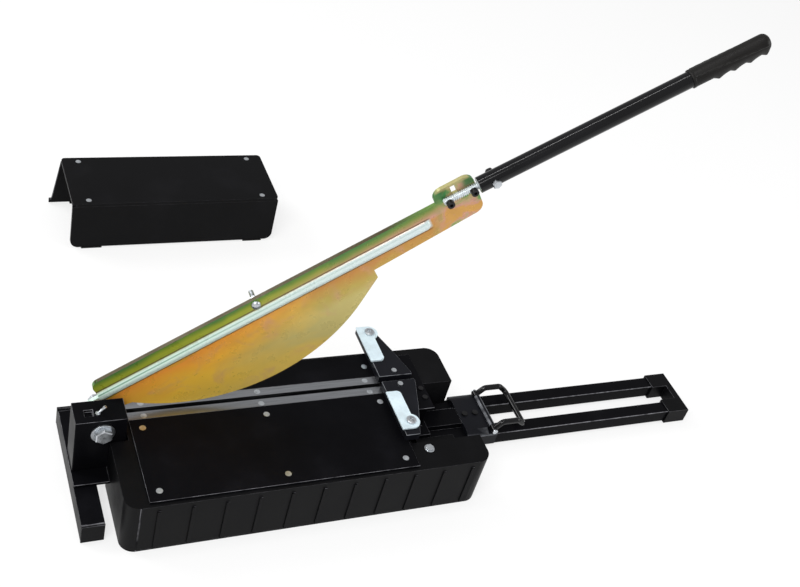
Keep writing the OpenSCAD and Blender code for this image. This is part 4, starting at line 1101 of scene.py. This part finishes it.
class CUTTER_OT_bail(bpy.types.Operator):
    """Round bail, bent from one rod"""

    bl_idname = "cutter.bail"
    bl_label = "Bail"

    RADIUS = 4.0 * MM
    SIDES = 24
    # From the bail's box to the middle of its rod, and half the width of its eyes
    INSET = 4.5 * MM
    # Bends of each leg: past the pin, and before the far end
    KNEE, BROW = 11.0 * MM, 12.0 * MM
    FAR_RISE = 1.5 * MM
    EYE = (
        (4.2 * MM, 0.0),
        (4.8 * MM, 0.6 * MM),
        (4.8 * MM, 8.4 * MM),
        (4.2 * MM, 9.0 * MM),
    )
    BEND_STEPS = 8

    def execute(self, context):
        low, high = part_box("bail")
        pin = joint_place("bail_swing")
        half = (high.y - low.y) / 2 - self.INSET
        far_x, top_z = high.x - self.INSET, high.z - self.INSET
        legs = (pin.y - half, pin.y + half)
        ways = [
            [
                Vector((pin.x, y, pin.z)),
                Vector((pin.x + self.KNEE, y, top_z)),
                Vector((far_x - self.BROW, y, top_z)),
                Vector((far_x, y, pin.z + self.FAR_RISE)),
            ]
            for y in legs
        ]
        pieces = [self.rod(self.eased(ways[0] + ways[1][::-1], sizes().bail_bend))]
        for y in legs:
            eye = turned(self.EYE, sides=32)
            moved(eye, facing((pin.x, y - self.INSET, pin.z), REAR))
            pieces.append(eye)
        settle(joined(pieces), "bent_bail", "bail_body", "black_gloss_tube", "bail")
        return {"FINISHED"}

    def eased(self, corners, bend):
        """The corner points with each inner corner replaced by an arc."""
        path = [corners[0]]
        for before, corner, after in zip(corners, corners[1:], corners[2:]):
            a, b = (before - corner).normalized(), (after - corner).normalized()
            room = 0.48 * min((before - corner).length, (after - corner).length)
            reach = min(bend / math.tan(a.angle(b) / 2), room)
            first, last = corner + a * reach, corner + b * reach
            for i in range(self.BEND_STEPS + 1):
                t = i / self.BEND_STEPS
                path.append(first * (1 - t) ** 2 + corner * 2 * t * (1 - t) + last * t**2)
        path.append(corners[-1])
        return path

    def rod(self, path):
        """Sweeps a round section along a path, ring by ring."""
        clear_selection()
        bpy.ops.mesh.primitive_circle_add(
            vertices=self.SIDES, radius=self.RADIUS, fill_type="NGON"
        )
        rod = bpy.context.object
        bpy.ops.object.mode_set(mode="EDIT")
        shape = bmesh.from_edit_mesh(rod.data)
        bmesh.ops.delete(shape, geom=list(shape.verts), context="VERTS")
        turns = [2 * math.pi * i / self.SIDES for i in range(self.SIDES)]
        across = REAR
        rings = []
        for i, point in enumerate(path):
            before, after = path[max(0, i - 1)], path[min(len(path) - 1, i + 1)]
            along = (after - before).normalized()
            # The section is carried along without a twist
            across = (across - along * across.dot(along)).normalized()
            other = along.cross(across)
            spokes = [across * math.cos(turn) + other * math.sin(turn) for turn in turns]
            rings.append([shape.verts.new(point + spoke * self.RADIUS) for spoke in spokes])
        for a, b in zip(rings, rings[1:]):
            for i in range(self.SIDES):
                j = (i + 1) % self.SIDES
                shape.faces.new((a[i], a[j], b[j], b[i]))
        shape.faces.new(rings[0][::-1])
        shape.faces.new(rings[-1])
        bmesh.update_edit_mesh(rod.data)
        bpy.ops.mesh.select_all(action="SELECT")
        bpy.ops.mesh.normals_make_consistent(inside=False)
        bpy.ops.object.mode_set(mode="OBJECT")
        return rod


class CUTTER_OT_rails(bpy.types.Operator):
    """Square rails, their tie and the end cap"""

    bl_idname = "cutter.rails"
    bl_label = "Rails"

    def execute(self, context):
        for node in ("rail_front", "rail_rear"):
            rounded_copy(node, 1.4 * MM, segments=3, shortest=30 * MM)
        rounded_copy("rail_tie", sizes().edge_round)
        rounded_copy("rail_end_cap", 3.0 * MM, segments=4, shortest=8 * MM)
        return {"FINISHED"}


class CUTTER_OT_stand(bpy.types.Operator):
    """Loose stand: top and two legs"""

    bl_idname = "cutter.stand"
    bl_label = "Stand"

    def execute(self, context):
        for node in ("stand_top", "stand_front_leg", "stand_rear_leg"):
            rounded_copy(node, sizes().moulding_round, segments=3, shortest=6 * MM)
        rounded_copy("stand_pads", 0.4 * MM)
        return {"FINISHED"}


class CUTTER_OT_finishes(bpy.types.Operator):
    """Finishes for the CAD nodes"""

    bl_idname = "cutter.finishes"
    bl_label = "Finishes"

    def execute(self, context):
        for node, piece in NODES.items():
            paint(piece, SLOT_OF[node])
        return {"FINISHED"}


class CUTTER_OT_stage(bpy.types.Operator):
    """Pale floor, soft light and the camera"""

    bl_idname = "cutter.stage"
    bl_label = "Stage"

    FLOOR_SIZE, FLOOR_GAP = 400.0, 0.6 * MM
    # Share of the floor's own white that the camera and reflections see over its light and shadow
    FLOOR_GLOW = 0.72
    SKY_STRENGTH = 0.55
    # Name, place, target, width, height and power in watts
    LAMPS = (
        ("key_light", (-1.5, -1.3, 2.5), (0.05, 0.0, 0.1), 1.4, 0.98, 44.0),
        ("rear_light", (-1.9, 1.7, 1.9), (0.1, 0.0, 0.15), 1.6, 1.12, 32.0),
        ("side_light", (2.1, -0.7, 1.4), (0.2, 0.0, 0.1), 1.2, 0.84, 14.0),
        ("strip_light", (-0.28, 0.2, 2.25), (0.4, 0.035, 0.48), 0.07, 1.4, 8.0),
    )
    # Camera fitted to the photograph's straight edges
    CAMERA_PLACE = (-0.4724, -0.9056, 1.1422)
    YAW, PITCH, ROLL = math.radians(31.80), math.radians(38.83), math.radians(17.27)
    LENS, SENSOR = 52.36, 36.0
    CLIP = (0.01, 500.0)

    def execute(self, context):
        scene = context.scene
        scene.view_settings.view_transform = "Standard"
        self.floor()
        self.world(scene)
        for lamp in self.LAMPS:
            self.lamp(*lamp)
        self.camera(scene)
        return {"FINISHED"}

    def floor(self):
        clear_selection()
        bpy.ops.mesh.primitive_plane_add(size=self.FLOOR_SIZE, location=(0, 0, -self.FLOOR_GAP))
        floor = bpy.context.object
        floor.name = "floor"
        f = Finish("floor_white", tone("floor"), metallic=0.0, rough=0.9, specular=0.1)
        light = f.add("ShaderNodeLightPath")
        seen = f.calc("MAXIMUM", light.outputs["Is Camera Ray"], light.outputs["Is Glossy Ray"])
        seen = f.calc("MAXIMUM", seen, light.outputs["Is Transmission Ray"])
        glow = f.add("ShaderNodeEmission")
        glow.inputs["Strength"].default_value = 1.0
        blend = f.add("ShaderNodeMixShader")
        f.link(f.calc("MULTIPLY", seen, self.FLOOR_GLOW), blend.inputs["Fac"])
        f.link(f.shader.outputs["BSDF"], blend.inputs[1])
        f.link(glow.outputs["Emission"], blend.inputs[2])
        f.link(blend.outputs["Shader"], f.tree.nodes["Material Output"].inputs["Surface"])
        floor.data.materials.append(f.mat)

    def world(self, scene):
        world = bpy.data.worlds.new("soft_studio")
        world.use_nodes = True
        scene.world = world
        sky = world.node_tree.nodes["Background"]
        sky.inputs["Color"].default_value = (1.0, 1.0, 1.0, 1.0)
        sky.inputs["Strength"].default_value = self.SKY_STRENGTH

    def lamp(self, name, place, target, width, height, power):
        clear_selection()
        bpy.ops.object.light_add(type="AREA", location=place)
        lamp = bpy.context.object
        lamp.name = name
        lamp.data.shape = "RECTANGLE"
        lamp.data.size = width
        lamp.data.size_y = height
        lamp.data.energy = power
        aim = Vector(target) - Vector(place)
        lamp.rotation_euler = aim.to_track_quat("-Z", "Y").to_euler()

    def camera(self, scene):
        ahead = Vector((math.sin(self.YAW), math.cos(self.YAW), 0))
        right = Vector((math.cos(self.YAW), -math.sin(self.YAW), 0))
        up = Vector((0, 0, 1))
        forward = ahead * math.cos(self.PITCH) - up * math.sin(self.PITCH)
        above = ahead * math.sin(self.PITCH) + up * math.cos(self.PITCH)
        side = right * math.cos(self.ROLL) + above * math.sin(self.ROLL)
        top = -right * math.sin(self.ROLL) + above * math.cos(self.ROLL)
        clear_selection()
        bpy.ops.object.camera_add(location=(0, 0, 0))
        camera = bpy.context.object
        camera.name = "photo_camera"
        camera.data.sensor_width = self.SENSOR
        camera.data.lens = self.LENS
        camera.data.clip_start, camera.data.clip_end = self.CLIP
        turn = Matrix((side, top, -forward)).transposed().to_4x4()
        camera.matrix_world = Matrix.Translation(self.CAMERA_PLACE) @ turn
        scene.camera = camera


class CUTTER_PT_panel(bpy.types.Panel):
    """Lists the steps that dress the cutter"""

    bl_idname = "CUTTER_PT_panel"
    bl_label = "Laminate cutter"
    bl_space_type = "VIEW_3D"
    bl_region_type = "UI"
    bl_category = "Cutter"

    def draw(self, context):
        column = self.layout.column(align=True)
        for step in STEPS:
            column.operator(step.bl_idname)
        for group in (context.scene.cutter_sizes, context.scene.cutter_colours):
            for name in group.__annotations__:
                self.layout.prop(group, name)


STEPS = (
    CUTTER_OT_stage,
    CUTTER_OT_finishes,
    CUTTER_OT_base,
    CUTTER_OT_post,
    CUTTER_OT_blade,
    CUTTER_OT_handle,
    CUTTER_OT_grip,
    CUTTER_OT_bolts,
    CUTTER_OT_fence,
    CUTTER_OT_hold_downs,
    CUTTER_OT_bail,
    CUTTER_OT_rails,
    CUTTER_OT_stand,
)
CLASSES = (CutterColours, CutterSizes, *STEPS, CUTTER_PT_panel)


def register():
    for cls in CLASSES:
        bpy.utils.register_class(cls)
    bpy.types.Scene.cutter_colours = bpy.props.PointerProperty(type=CutterColours)
    bpy.types.Scene.cutter_sizes = bpy.props.PointerProperty(type=CutterSizes)


def unregister():
    del bpy.types.Scene.cutter_sizes
    del bpy.types.Scene.cutter_colours
    for cls in reversed(CLASSES):
        bpy.utils.unregister_class(cls)


def main():
    register()
    for step in STEPS:
        group, name = step.bl_idname.split(".")
        getattr(getattr(bpy.ops, group), name)()


if __name__ == "__main__":
    main()
